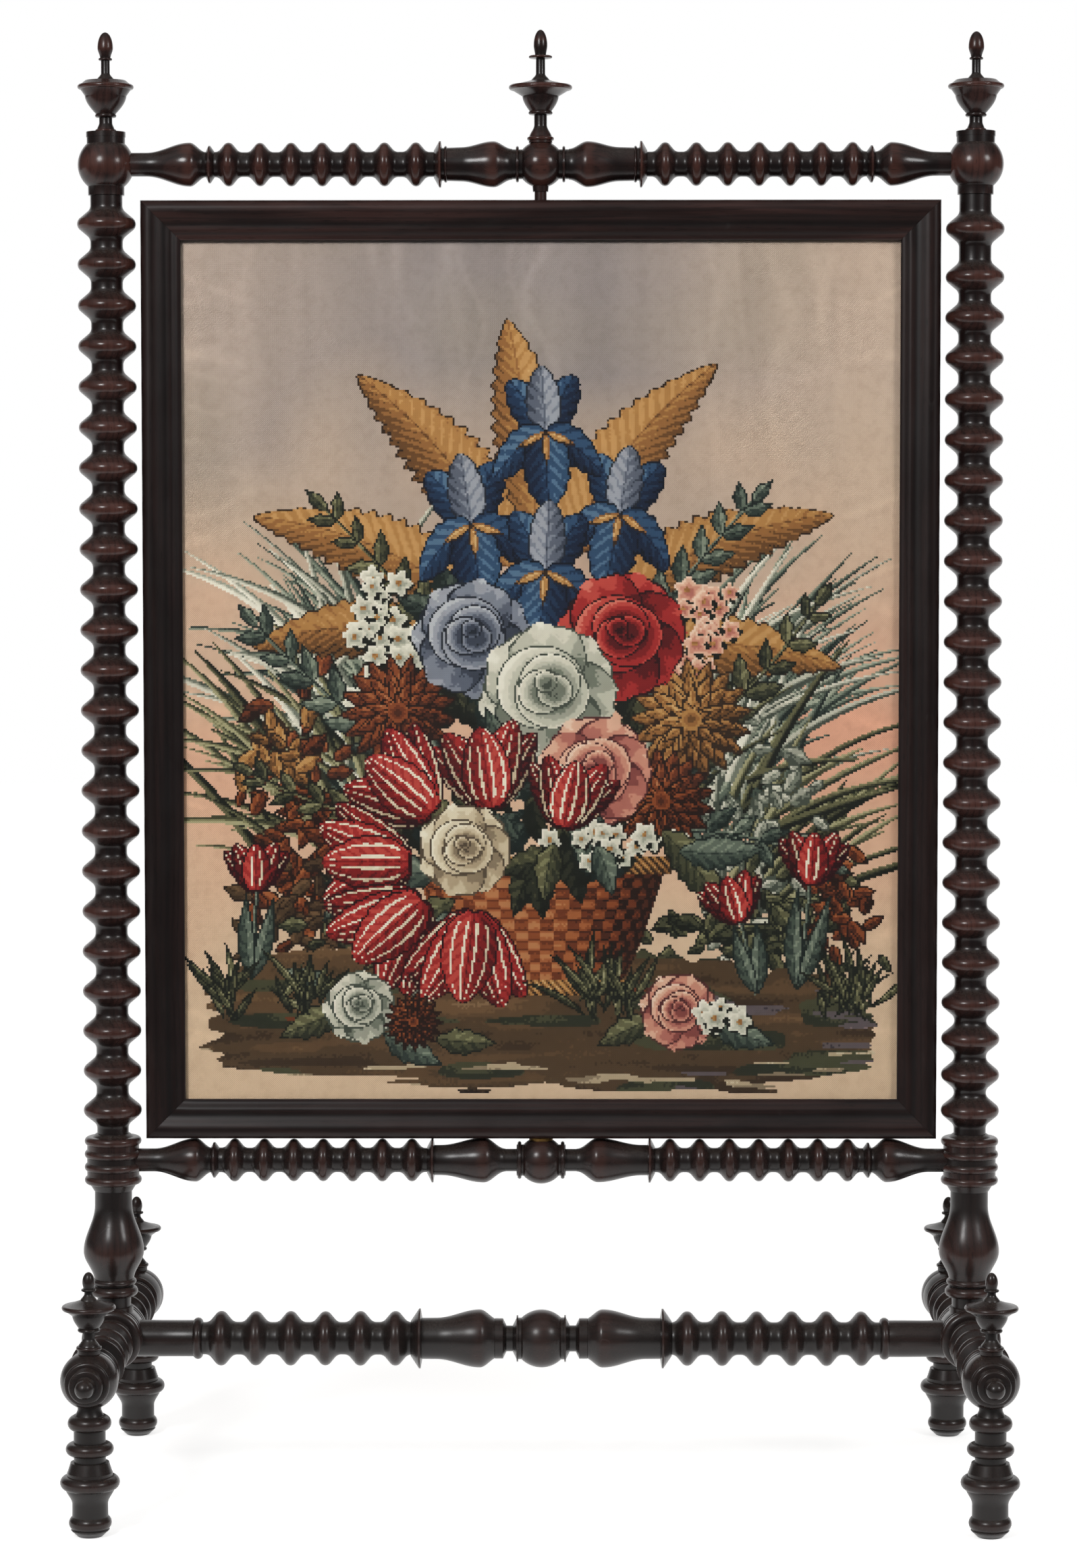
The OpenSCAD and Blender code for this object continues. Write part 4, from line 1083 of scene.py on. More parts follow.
def add_floor(scene, settings):
    """Pale floor that shows white to the camera where no shadow lies on it."""
    half = 9
    points = np.array([(-half, -half, 0), (half, -half, 0), (half, half, 0), (-half, half, 0)], float)
    mesh = new_mesh("Floor", points, [np.array([[0, 1, 2, 3]])])
    material = bpy.data.materials.new("Pale floor")
    material.use_nodes = True
    tree = material.node_tree
    tree.nodes.clear()
    shader = Shader(tree)
    place = object_place(shader)
    mottle = shader.noise(place, 3, 3, 0.5)
    pale = shader.mix(mottle, (*linear(226, 225, 223), 1), (*linear(232, 231, 229), 1))
    plain, mirrored, _ = backdrop_rays(shader)
    forward = shader.node("ShaderNodeSeparateXYZ", {0: place}).outputs["Y"]
    unlit = shader.math("MULTIPLY", mirrored, shader.ramp(forward, 0.0, -1.0))
    matt = shader.node("ShaderNodeBsdfDiffuse", {"Color": shader.mix(unlit, pale, (0.1, 0.1, 0.1, 1))})
    seen = shader.math("SUBTRACT", shader.math("MAXIMUM", plain, mirrored), unlit)
    glow = shader.node("ShaderNodeEmission", {
        "Color": (1, 1, 1, 1), "Strength": shader.math("MULTIPLY", seen, settings.floor_glow)})
    both = shader.node("ShaderNodeAddShader", {0: matt.outputs[0], 1: glow.outputs[0]})
    output = shader.node("ShaderNodeOutputMaterial", {"Surface": both.outputs[0]})
    output.location = (400, 0)
    mesh.materials.append(material)
    floor = bpy.data.objects.new("Floor", mesh)
    scene.collection.objects.link(floor)


def add_lamps(scene, settings):
    """Two soft lamps, the stronger one on the left."""
    lamps = (
        ("Left light", -28, 2.6, 2.0, 0.78, settings.key_power),
        ("Right light", 50, 2.6, 1.9, 0.72, settings.fill_power),
    )
    target = Vector((0, 0, 0.7))
    for name, turn, distance, height, size, power in lamps:
        data = bpy.data.lights.new(name, "AREA")
        data.shape = "DISK"
        data.size = size
        data.energy = power
        lamp = bpy.data.objects.new(name, data)
        angle = math.radians(turn)
        lamp.location = (distance * math.sin(angle), -distance * math.cos(angle), height)
        lamp.rotation_euler = (target - lamp.location).to_track_quat("-Z", "Y").to_euler()
        lamp.visible_transmission = False
        scene.collection.objects.link(lamp)


def add_surroundings(scene, settings):
    """White backdrop for the camera and for reflections, a dim room in front and a plain level of light."""
    world = bpy.data.worlds.new("Soft surroundings")
    scene.world = world
    world.use_nodes = True
    tree = world.node_tree
    tree.nodes.clear()
    shader = Shader(tree)
    plain, mirrored, strays = backdrop_rays(shader)
    direction = shader.node("ShaderNodeTexCoord").outputs["Generated"]
    towards_back = shader.node("ShaderNodeSeparateXYZ", {0: direction}).outputs["Y"]
    room = shader.ramp(towards_back, 0.6, 0.85, settings.room, 1.0)
    for lobe, strength, wide in (
            ((-0.55, -0.7, 0.45), 0.35, 0.72), ((0.65, -0.65, 0.4), 0.18, 0.78), ((-0.1, -0.35, 0.93), 0.3, 0.6)):
        towards = shader.node("ShaderNodeVectorMath", {0: direction, 1: lobe}, operation="DOT_PRODUCT")
        room = shader.math("ADD", room, shader.ramp(towards.outputs["Value"], wide, 1.0, 0.0, strength))
    change = shader.math("SUBTRACT", room, settings.surround)
    strength = shader.math("MULTIPLY_ADD", mirrored, change, settings.surround)
    strength = shader.math("MAXIMUM", strength, plain)
    once = shader.math("SUBTRACT", 1.0, shader.math("MAXIMUM", strays, 0.0))
    strength = shader.math("MULTIPLY", strength, once)
    light = shader.node("ShaderNodeBackground", {"Color": (1, 1, 1, 1), "Strength": strength})
    shader.node("ShaderNodeOutputWorld", {"Surface": light.outputs[0]})
    scene.view_settings.view_transform = "Standard"


class FIRESCREEN_OT_uprights(bpy.types.Operator):
    """Turn the two bobbin uprights"""

    bl_idname = "fire_screen.uprights"
    bl_label = "Uprights"

    def execute(self, context):
        settings = context.scene.fire_screen.wood
        for side, node in ((-1, "left_upright"), (1, "right_upright")):
            rng = make_rng(node)
            shape = turned_shape(
                upright_outline(side), "Z", (side * HALF_SPACING, 0, 0), settings.wobble, rng)
            turned_piece(f"Turned_{node}", node, shape, 0.95, rng, settings)
        return {"FINISHED"}


class FIRESCREEN_OT_rails(bpy.types.Operator):
    """Turn the top rail, the lower rail and the stretcher"""

    bl_idname = "fire_screen.rails"
    bl_label = "Rails and stretcher"

    def execute(self, context):
        settings = context.scene.fire_screen.wood
        rng = make_rng("top_rail")
        rail = turned_shape(top_rail_outline(), "X", (0, 0, TOP_RAIL_H), settings.wobble, rng)
        boss = Turning(-TOP_MIDDLE_R - 3, -8)
        boss.core(-TOP_MIDDLE_R - 3, -8, SPINDLE_R + 1.2, SPINDLE_R + 2.4)
        neck = turned_shape(boss, "Z", (0, 0, TOP_RAIL_H), 0, rng)
        turned_piece("Turned_top_rail", "top_rail", joined([rail, neck]), 0.6, rng, settings)
        rng = make_rng("lower_rail")
        points, faces, crowns, flat = turned_shape(
            lower_rail_outline(), "X", (0, 0, LOWER_RAIL_H), settings.wobble, rng)
        seat = (np.abs(points[:, 0]) < 15) & (points[:, 2] > PIN_SEAT_Z)
        points[seat, 2] = PIN_SEAT_Z
        turned_piece("Turned_lower_rail", "lower_rail", (points, faces, crowns, flat), 0.5, rng, settings)
        rng = make_rng("stretcher")
        shape = turned_shape(stretcher_outline(), "X", (0, 0, STRETCHER_H), settings.wobble, rng)
        turned_piece("Turned_stretcher", "stretcher", shape, 0.6, rng, settings)
        return {"FINISHED"}


class FIRESCREEN_OT_feet(bpy.types.Operator):
    """Turn the foot rails, the four feet and the four toe finials"""

    bl_idname = "fire_screen.feet"
    bl_label = "Foot rails and feet"

    def execute(self, context):
        settings = context.scene.fire_screen.wood
        toe_seat = corners_mm("front_left_toe_finial")[0][2] + 6
        for side, name in ((-1, "left"), (1, "right")):
            node = f"{name}_foot_rail"
            rng = make_rng(node)
            shape = turned_shape(
                foot_rail_outline(), "Y", (side * HALF_SPACING, 0, FOOT_RAIL_H), settings.wobble, rng)
            turned_piece(f"Turned_{node}", node, shape, 0.55, rng, settings)
            for end, place in ((-1, "front"), (1, "rear")):
                where = (side * HALF_SPACING, end * FOOT_REACH)
                node = f"{place}_{name}_foot"
                rng = make_rng(node)
                shape = turned_shape(foot_outline(), "Z", (*where, 0), settings.wobble, rng)
                turned_piece(f"Turned_{node}", node, shape, 0.4, rng, settings)
                node = f"{place}_{name}_toe_finial"
                rng = make_rng(node)
                shape = turned_shape(
                    toe_finial_outline(toe_seat), "Z", (*where, toe_seat), settings.wobble * 0.5, rng)
                turned_piece(f"Turned_{node}", node, shape, 0.4, rng, settings)
        return {"FINISHED"}


class FIRESCREEN_OT_finials(bpy.types.Operator):
    """Turn the three urn finials"""

    bl_idname = "fire_screen.finials"
    bl_label = "Finials"

    def execute(self, context):
        settings = context.scene.fire_screen.wood
        for side, node in ((-1, "left_finial"), (1, "right_finial")):
            rng = make_rng(node)
            shape = turned_shape(side_finial_outline(), "Z", (side * HALF_SPACING, 0, UPRIGHT_TOP),
                                 settings.wobble * 0.5, rng)
            turned_piece(f"Turned_{node}", node, shape, 0.8, rng, settings)
        rng = make_rng("centre_finial")
        seat = TOP_RAIL_H + math.sqrt(TOP_MIDDLE_R ** 2 - 8.5 ** 2)
        shape = turned_shape(centre_finial_outline(seat), "Z", (0, 0, seat), settings.wobble * 0.5, rng)
        turned_piece("Turned_centre_finial", "centre_finial", shape, 0.8, rng, settings)
        return {"FINISHED"}


def arc(centre, r, start, end, count):
    """Points of an arc in degrees, both ends included."""
    turn = np.radians(np.linspace(start, end, count + 1))
    return [(centre[0] + r * math.cos(a), centre[1] + r * math.sin(a)) for a in turn]


def ogee(start, end, count):
    """Points of a smooth S from start to end, both included."""
    shares = np.linspace(0, 1, count + 1)
    return [(start[0] + (end[0] - start[0]) * u, start[1] + (end[1] - start[1]) * (1 - math.cos(math.pi * u)) / 2)
            for u in shares]


def moulding_section(back):
    """Section of the frame moulding: distance from its outer edge, and depth, with the front towards -Y."""
    front = -back
    step = front + STEP_Y
    sight = front + SIGHT_DROP
    return [
        (0, back), *arc((ROUND_R, front + ROUND_R), ROUND_R, 180, 270, 14),
        *ogee((ROUND_R + 1, front), (MEMBER_W - 11, step), 18),
        *ogee((MEMBER_W - 9, step), (MEMBER_W - 0.8, sight - 0.1), 8), (MEMBER_W, sight + 0.6),
        (MEMBER_W, sight + LIP_T), (MEMBER_W - REBATE_W, sight + LIP_T), (MEMBER_W - REBATE_W, back)]


def bead_section(back):
    """Section of the quarter-round bead behind the back board."""
    return [(0, back - BEAD_R), *arc((0, back - BEAD_R), BEAD_R, 0, 90, 12)]


def mitred_shape(section, which, half_w, z0, z1, pieces):
    """Points, quads, end faces and grain place of one mitred length on a side of a rectangle."""
    across = np.array([p[0] for p in section])
    depth = np.array([p[1] for p in section])
    upright = which in ("left", "right")
    length = z1 - z0 if upright else 2 * half_w
    share = np.linspace(0, 1, pieces + 1)[:, None]
    along = across + MITRE_GAP + share * (length - 2 * across - 2 * MITRE_GAP)
    wide = np.broadcast_to(across, along.shape)
    deep = np.broadcast_to(depth, along.shape)
    if upright:
        side = -1 if which == "left" else 1
        points = np.stack([side * (half_w - wide), deep, z0 + along], axis=-1)
    else:
        height = z1 - wide if which == "top" else z0 + wide
        points = np.stack([-half_w + along, deep, height], axis=-1)
    local = np.stack([wide, deep, along], axis=-1)
    count = len(section)
    row, col = np.meshgrid(np.arange(pieces), np.arange(count), indexing="ij")
    here = row * count + col
    beside = row * count + (col + 1) % count
    quads = np.stack([here, beside, beside + count, here + count], axis=-1).reshape(-1, 4)
    ends = np.array([np.arange(count)[::-1], pieces * count + np.arange(count)])
    if which in ("right", "top"):
        quads = quads[:, ::-1]
        ends = ends[:, ::-1]
    return points.reshape(-1, 3), [quads, ends], local.reshape(-1, 3)


def moulding_crown(local, section):
    """How high each point of a moulding stands: high on its arrises, which are rubbed, and low in its quirks, which
    are darkened by grime and painted shade.
    """
    across = local[:, 0]
    crown = np.full(len(across), 0.5)
    if max(p[0] for p in section) > MEMBER_W - 1:
        for place, reach, height in ((ROUND_R * 0.3, 4, 0.25), (MEMBER_W - 1, 2.5, 0.25)):
            crown += height * np.exp(-((across - place) / reach) ** 2)
        # The dip puts grime and painted shade into the quirk beside the band.
        crown -= 0.4 * np.exp(-((across - BAND_W - 6) / 2.5) ** 2)
    return np.clip(crown, 0, 1)


def add_moulding(name, node, section, which, rectangle, tone, settings):
    """One mitred moulding or bead of the panel."""
    rng = make_rng(node)
    points, faces, local = mitred_shape(section, which, *rectangle, 48)
    mesh = new_mesh(name, points * MM, faces)
    mesh.shade_smooth()
    mesh.set_sharp_from_angle(angle=math.radians(30))
    add_number(mesh, "crown", moulding_crown(local, section))
    add_number(mesh, "tone", np.full(len(points), tone))
    add_vector(mesh, "grain", local * MM + rng.uniform((0.02, 0.04, -3), (0.05, 0.09, 3)))
    return new_piece(name, mesh, moulding_wood(settings), "panel", [node])


class FIRESCREEN_OT_frame(bpy.types.Operator):
    """Run the four frame mouldings and the four beads at the back"""

    bl_idname = "fire_screen.frame"
    bl_label = "Frame mouldings"

    def execute(self, context):
        settings = context.scene.fire_screen.wood
        back = PANEL_HIGH[1]
        outer = (PANEL_HALF_W, PANEL_Z0, PANEL_Z1)
        inset = MEMBER_W - REBATE_W
        inner = (PANEL_HALF_W - inset, PANEL_Z0 + inset, PANEL_Z1 - inset)
        # Each member's tone is painted light: the top member is lighter and redder and the left one darkest, as the
        # light falls on them, though all four are the same wood.
        for which, tone in (("left", 0.35), ("right", 0.45), ("top", 1.0), ("bottom", 0.55)):
            add_moulding(f"Moulding_{which}", f"frame_{which}", moulding_section(back), which, outer, tone,
                         settings)
            add_moulding(f"Back_bead_{which}", f"bead_{which}", bead_section(back), which, inner, tone,
                         settings)
        return {"FINISHED"}


def repaint(node, material):
    """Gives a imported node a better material."""
    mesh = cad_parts[node].data
    mesh.materials.clear()
    mesh.materials.append(material)


class FIRESCREEN_OT_fittings(bpy.types.Operator):
    """Finish the glass, strainer, back board and metal fittings"""

    bl_idname = "fire_screen.fittings"
    bl_label = "Glass, boards and metal"

    def execute(self, context):
        repaint("glass", window_glass())
        for side in ("top", "bottom", "left", "right"):
            repaint(f"strainer_{side}", pine_wood())
        repaint("backboard", pine_wood())
        for node in ("pivot_pin", "canvas_tacks", "bead_pins"):
            repaint(node, steel())
        for node in ("pivot_washer", "upper_bush", "lower_bush"):
            repaint(node, brass())
        return {"FINISHED"}


def wools(*shades):
    """Wools from dark to light, given as display colours."""
    return np.array([linear(*shade) for shade in shades])


REDS = wools((40, 8, 12), (84, 16, 18), (126, 26, 26), (160, 40, 38), (190, 70, 60), (214, 116, 98))
ROSES = wools((84, 40, 40), (134, 70, 64), (178, 108, 94), (206, 142, 120), (224, 176, 150), (236, 204, 180))
CREAMS = wools((88, 74, 58), (138, 120, 96), (180, 160, 130), (206, 188, 158), (226, 212, 184), (238, 228, 206))
BLUES = wools((10, 16, 30), (18, 30, 52), (28, 48, 76), (46, 74, 104), (84, 112, 138), (138, 158, 172))
GREYS = wools((30, 34, 44), (58, 64, 78), (92, 98, 112), (126, 130, 142), (158, 160, 168), (190, 190, 194))
OCHRES = wools((48, 32, 20), (104, 68, 34), (148, 100, 52), (176, 126, 70), (196, 148, 90), (212, 172, 116))
RUSTS = wools((34, 18, 12), (72, 34, 20), (106, 50, 26), (136, 70, 36), (162, 94, 52), (184, 122, 78))
OLIVES = wools((22, 24, 18), (42, 44, 32), (68, 68, 46), (98, 96, 66), (132, 128, 92), (166, 160, 122))
SAGES = wools((24, 32, 30), (44, 54, 48), (70, 80, 70), (98, 108, 94), (132, 140, 122), (168, 172, 152))
EARTHS = wools((38, 26, 18), (58, 42, 28), (78, 58, 38), (92, 68, 44), (108, 80, 52), (132, 104, 74))
WHITES = wools((70, 76, 66), (116, 120, 106), (160, 160, 144), (196, 192, 174), (220, 214, 196), (236, 230, 214))


EVERYWHERE = (slice(None), slice(None))


class Chart:
    """Stitch chart of the needlework. Places are in millimetres from the middle of its lower edge."""

    def __init__(self, columns, rows, pitch, seed):
        self.pitch = pitch
        self.x, self.z = np.meshgrid((np.arange(columns) + 0.5 - columns / 2) * pitch,
                                     (np.arange(rows) + 0.5) * pitch)
        self.width = columns * pitch
        self.height = rows * pitch
        self.colour = np.zeros((rows, columns, 3))
        self.rng = np.random.default_rng(seed)
        self.speck = self.rng.uniform(-1, 1, (rows, columns))

    def patchy(self, wide, high):
        """Smooth random field from -1 to 1 with patches of the given size."""
        columns = int(self.width / wide) + 3
        rows = int(self.height / high) + 3
        knots = self.rng.uniform(-1, 1, (rows, columns))
        u = (self.x + self.width / 2) / wide
        v = self.z / high
        c = u.astype(int)
        r = v.astype(int)
        a = (u - c) ** 2 * (3 - 2 * (u - c))
        b = (v - r) ** 2 * (3 - 2 * (v - r))
        low = knots[r, c] * (1 - a) + knots[r, c + 1] * a
        high_row = knots[r + 1, c] * (1 - a) + knots[r + 1, c + 1] * a
        return low * (1 - b) + high_row * b

    def near(self, x, z, reach):
        """Window of the stitches round a place, and how far each of them lies from it in x and in z."""
        column, row = ((x - reach + self.width / 2) / self.pitch, (z - reach) / self.pitch)
        span = int(2 * reach / self.pitch) + 2
        window = (slice(max(int(row), 0), max(int(row) + span, 0)),
                  slice(max(int(column), 0), max(int(column) + span, 0)))
        return window, self.x[window] - x, self.z[window] - z

    def paint(self, window, mask, shades, tone):
        """Works the masked stitches in the wool that a tone from 0, dark, to 1, light, picks."""
        toned = np.broadcast_to(tone, mask.shape)[mask] + 0.035 * self.speck[window][mask]
        toned = np.clip(toned, 0, 0.999)
        self.colour[window][mask] = shades[(toned * len(shades)).astype(int)]

    def leaf(self, x, z, length, width, angle, shades, bend=0.0, teeth=0.0, light=0.0, full=1.0, flames=None):
        """Leaf or petal with a dark outline, a midrib and veins, lit from the upper left."""
        window, dx, dz = self.near(x, z, length * (1 + abs(bend)) + width)
        turn = math.radians(angle)
        along = dx * math.cos(turn) + dz * math.sin(turn)
        share = np.clip(along / length, 0, 1)
        across = dz * math.cos(turn) - dx * math.sin(turn) - bend * length * share ** 2
        half = width / 2 * np.sin(np.pi * share ** 0.8) ** (1 / full)
        half = half * (1 + teeth * np.sin(share * length * 0.55) * (share < 0.9))
        inside = (along >= 0) & (along <= length) & (np.abs(across) <= half)
        side = np.tanh(across / (0.12 * width + 0.5)) * (1 if math.cos(turn) > 0 else -1)
        veins = 0.08 * np.sin(along * 0.6 - np.abs(across) * 0.7)
        rounding = -0.16 * (np.abs(across) / np.maximum(half, 1)) ** 2
        rib = np.where(np.abs(across) < 0.5 * self.pitch, -0.2, 0.0)
        tone = 0.52 + 0.17 * side + veins + rounding + rib + light
        rim = (np.abs(across) > half - 0.95 * self.pitch) | (along < 0.8 * self.pitch)
        self.paint(window, inside, shades, np.where(rim, 0.06 + 0.3 * (tone > 0.75), tone))
        if flames is not None:
            spread = across / np.maximum(half, 1) * (1.6 + 0.12 * width)
            flame = inside & ~rim & (np.cos(spread * 2.1) < -0.62 - 0.3 * share) & (share > 0.12)
            self.paint(window, flame, flames, tone + 0.3)

    def blade(self, x, z, length, width, angle, shades, bend, light):
        """Blade of grass: a tapering stroke, light on one side and dark on the other."""
        window, dx, dz = self.near(x, z, length * (1 + abs(bend)))
        turn = math.radians(angle)
        along = dx * math.cos(turn) + dz * math.sin(turn)
        share = np.clip(along / length, 0, 1)
        across = dz * math.cos(turn) - dx * math.sin(turn) - bend * length * share ** 2
        inside = (along >= 0) & (along <= length) & (np.abs(across) <= width / 2 * (1 - share ** 3) + 0.6)
        self.paint(window, inside, shades, 0.42 + light + 0.3 * np.tanh(across) + 0.15 * share)

    def stem(self, x, z, length, angle, shades, bend=0.0, width=3.2, tone=0.4):
        """Thin bent stalk."""
        window, dx, dz = self.near(x, z, length * (1 + abs(bend)))
        turn = math.radians(angle)
        along = dx * math.cos(turn) + dz * math.sin(turn)
        share = np.clip(along / length, 0, 1)
        across = dz * math.cos(turn) - dx * math.sin(turn) - bend * length * share ** 2
        inside = (along >= 0) & (along <= length) & (np.abs(across) <= width / 2)
        self.paint(window, inside, shades, tone + 0.25 * np.sign(across))

    def point_on(self, x, z, length, angle, bend, share):
        """Place and direction at a share of a bent stem."""
        turn = math.radians(angle)
        along = length * share
        across = bend * length * share ** 2
        slope = math.degrees(math.atan(2 * bend * share))
        return (x + along * math.cos(turn) - across * math.sin(turn),
                z + along * math.sin(turn) + across * math.cos(turn), angle + slope)

    def spray(self, x, z, length, angle, shades, bend, leaves, size, teeth=0.0):
        """Stem with a leaf on each side at every step and one at its tip."""
        self.stem(x, z, length, angle, shades, bend)
        for i in range(leaves):
            share = (i + 1) / (leaves + 0.4)
            px, pz, heading = self.point_on(x, z, length, angle, bend, share)
            small = size * (1.15 - 0.5 * share) * self.rng.uniform(0.85, 1.15)
            for side in (-1, 1):
                self.leaf(px, pz, small, small * 0.46, heading + side * self.rng.uniform(38, 60), shades,
                          -side * 0.14, teeth, self.rng.uniform(-0.15, 0.15))
        px, pz, heading = self.point_on(x, z, length, angle, bend, 1.0)
        self.leaf(px, pz, size * 0.7, size * 0.32, heading, shades, 0, teeth)

    def disc(self, x, z, r, shades, tone, lobes=0, depth=0.0, turn=0.0):
        """Round or lobed patch. tone is a function of the distance and direction from its middle."""
        window, dx, dz = self.near(x, z, r * (1 + depth))
        heading = np.arctan2(dz, dx)
        away = np.hypot(dx, dz) / (r * (1 + depth * np.cos(lobes * heading + turn)))
        self.paint(window, away <= 1, shades, tone(away, heading))

    def rose(self, x, z, r, shades, turn=0.0):
        """Full rose: a ring of outer petals round nested shells."""
        for i in range(7):
            heading = turn + 2 * math.pi * i * 3 / 7
            self.petal(x + r * 0.5 * math.cos(heading), z + r * 0.5 * math.sin(heading), r * 0.5, heading,
                       shades, 0.4 + 0.13 * math.cos(heading - 2.3))
        heading = turn
        for size in (0.66, 0.55, 0.45, 0.36, 0.27, 0.18):
            heading += 2.3
            self.shell(x + r * 0.1 * math.cos(heading), z + r * (0.06 + 0.1 * math.sin(heading)), r * size,
                       heading, shades)

    def petal(self, x, z, r, heading, shades, light):
        """Round petal whose light rim faces along its heading."""
        window, dx, dz = self.near(x, z, r * 1.1)
        outward = (dx * math.cos(heading) + dz * math.sin(heading)) / r
        across = (dz * math.cos(heading) - dx * math.sin(heading)) / r
        away = np.hypot(outward, across * 0.86) * (1 + 0.05 * np.cos(6 * across + heading))
        tone = light + 0.34 * outward - 0.14 * across ** 2 + 0.06 * np.sin(9 * across)
        rim = (away > 1 - 0.9 * self.pitch / r) & (outward < 0.95)
        self.paint(window, away <= 1, shades, np.where(rim, 0.05, tone))

    def shell(self, x, z, r, heading, shades):
        """Curled petal round the heart of a rose: a dark hollow inside a light lip."""
        window, dx, dz = self.near(x, z, r)
        away = np.hypot(dx, dz * 1.08) / r
        outward = (dx * math.cos(heading) + dz * math.sin(heading)) / r
        lip = np.clip((away - 0.45) / 0.5, 0, 1)
        tone = 0.2 + 0.5 * lip + 0.16 * outward + 0.12 * (dz - dx) / r
        self.paint(window, away <= 1, shades, np.where(away > 1 - 0.8 * self.pitch / r, 0.1, tone))

    def dahlia(self, x, z, r, shades, turn=0.0):
        """Rings of pointed petals, each ring smaller and lighter than the one under it."""
        for ring in range(4):
            length = r * (1 - 0.21 * ring)
            count = 17 - 3 * ring
            for i in range(count):
                heading = turn + ring * 0.21 + 2 * math.pi * i / count
                lit = 0.12 * math.cos(heading - 2.3) + 0.07 * ring - 0.1
                self.leaf(x, z, length, length * 0.36, math.degrees(heading), shades, 0.03, 0, lit, 1.4)
        self.disc(x, z, r * 0.17, shades, lambda away, way: 0.15 + 0.5 * away)

    def iris(self, x, z, r, turn=0.0):
        """Three upright petals over three hanging ones with an ochre beard."""
        for angle, length, wide, shades, light, bend in (
                (66, 0.95, 0.6, BLUES, -0.04, -0.1), (116, 0.95, 0.6, BLUES, 0.08, 0.1),
                (91, 1.0, 0.54, GREYS, 0.08, 0), (200, 1.0, 0.56, BLUES, 0.04, 0.34),
                (-20, 1.0, 0.56, BLUES, -0.08, -0.34), (269, 1.15, 0.72, BLUES, 0, 0)):
            self.leaf(x, z, r * length, r * wide, angle + turn, shades, bend, 0.05, light, 2.0)
        for angle in (206, -26, 269):
            self.leaf(x, z, r * 0.5, r * 0.13, angle + turn, OCHRES, 0, 0, 0.3)

    def tulip(self, x, z, size, heading, shades, streaks):
        """Open cup of petals flamed with a second wool."""
        for turn, length, wide, light in ((-31, 0.96, 0.42, -0.18), (31, 0.96, 0.42, -0.08), (-15, 1.0, 0.5, 0.0),
                                          (17, 0.97, 0.5, -0.06), (0, 0.9, 0.56, 0.06)):
            self.leaf(x, z, size * length, size * wide, heading + turn, shades, 0.12 * np.sign(turn), 0.03, light,
                      1.9, streaks)

    def blossoms(self, x, z, spread_x, spread_z, count, size, shades, heart):
        """Cloud of small five-petalled blossoms."""
        for _ in range(count):
            px = x + self.rng.normal(0, spread_x)
            pz = z + self.rng.normal(0, spread_z)
            r = size * self.rng.uniform(0.75, 1.2)
            self.disc(px + 1.5, pz - 2.0, r, OLIVES, lambda away, heading: 0.1 + 0 * away, 5, 0.2)
            self.disc(px, pz, r, shades, lambda away, heading: 0.3 + 0.55 * away + 0.12 * np.cos(heading - 2.3),
                      5, 0.2, self.rng.uniform(0, 6))
            self.disc(px, pz, r * 0.25, heart, lambda away, heading: 0.5 + 0 * away)


def work_ground(chart, settings):
    """Ground graded from mauve grey above to peach at the right and cream at the sides and below, with painted sheen:
    watery streaks above and light ripple bands along both sides.
    """
    up = chart.z / chart.height
    side = chart.x / chart.width * 2
    drift = 0.07 * chart.patchy(150, 110) + 0.03 * chart.patchy(40, 60)
    top = np.clip((up + drift - 0.52 + 0.05 * np.abs(side)) / 0.32, 0, 1)[..., None]
    warm = np.exp(-((up + drift - 0.5 + 0.06 * side) / 0.15) ** 2) * np.clip(0.6 + 0.75 * side, 0.15, 1)
    warm = np.clip(warm + 0.6 * np.exp(-((up + drift - 0.4) / 0.13) ** 2) * (side < -0.5), 0, 1)[..., None]
    ground = np.array(settings.edge_ground) * (1 - warm) + np.array(settings.side_ground) * warm
    upper = np.array(settings.upper_ground)
    glow = np.clip((np.abs(side + 0.06) - 0.25) * np.where(side > 0, 1.5, 0.9), 0, 1)[..., None]
    upper = upper * (1 - glow) + np.array(linear(198, 174, 156)) * glow
    beige = np.clip(chart.patchy(120, 90), 0, 1)[..., None] * 0.5
    upper = upper * (1 - beige) + np.array(linear(158, 144, 124)) * beige
    ground = ground * (1 - top) + upper * top
    # Painted sheen: soft lighter and darker patches and watery streaks on the upper ground.
    painted_sheen = (0.07 * chart.patchy(26, 210) + 0.04 * chart.patchy(9, 120)) * top[..., 0]
    for _ in range(16):
        x = chart.rng.uniform(-0.8, 0.8) * chart.width / 2
        bow = chart.rng.uniform(4, 14) * np.sin(chart.z / chart.rng.uniform(18, 45) + chart.rng.uniform(0, 6))
        reach = chart.rng.uniform(120, 330)
        fade = np.clip(1 - (chart.height - chart.z) / reach, 0, 1)
        painted_sheen = painted_sheen + 0.1 * fade * np.exp(-((chart.x - x - bow) / chart.rng.uniform(3, 7)) ** 2)
    # Painted sheen: light bands of the canvas ripples along both side edges, fading inwards.
    for _ in range(34):
        z = chart.rng.uniform(0.05, 0.95) * chart.height
        edge = chart.rng.choice((-1, 1))
        inward = chart.width / 2 - edge * chart.x
        bow = 12 * np.sin(inward / chart.rng.uniform(20, 34) + chart.rng.uniform(0, 6))
        fade = np.clip(1 - inward / chart.rng.uniform(50, 120), 0, 1)
        painted_sheen = painted_sheen + 0.12 * fade * np.exp(-((chart.z - z - bow) / chart.rng.uniform(2.5, 5)) ** 2)
    chart.colour[:] = ground * (1 + painted_sheen[..., None]) * (1 + 0.015 * chart.speck[..., None])


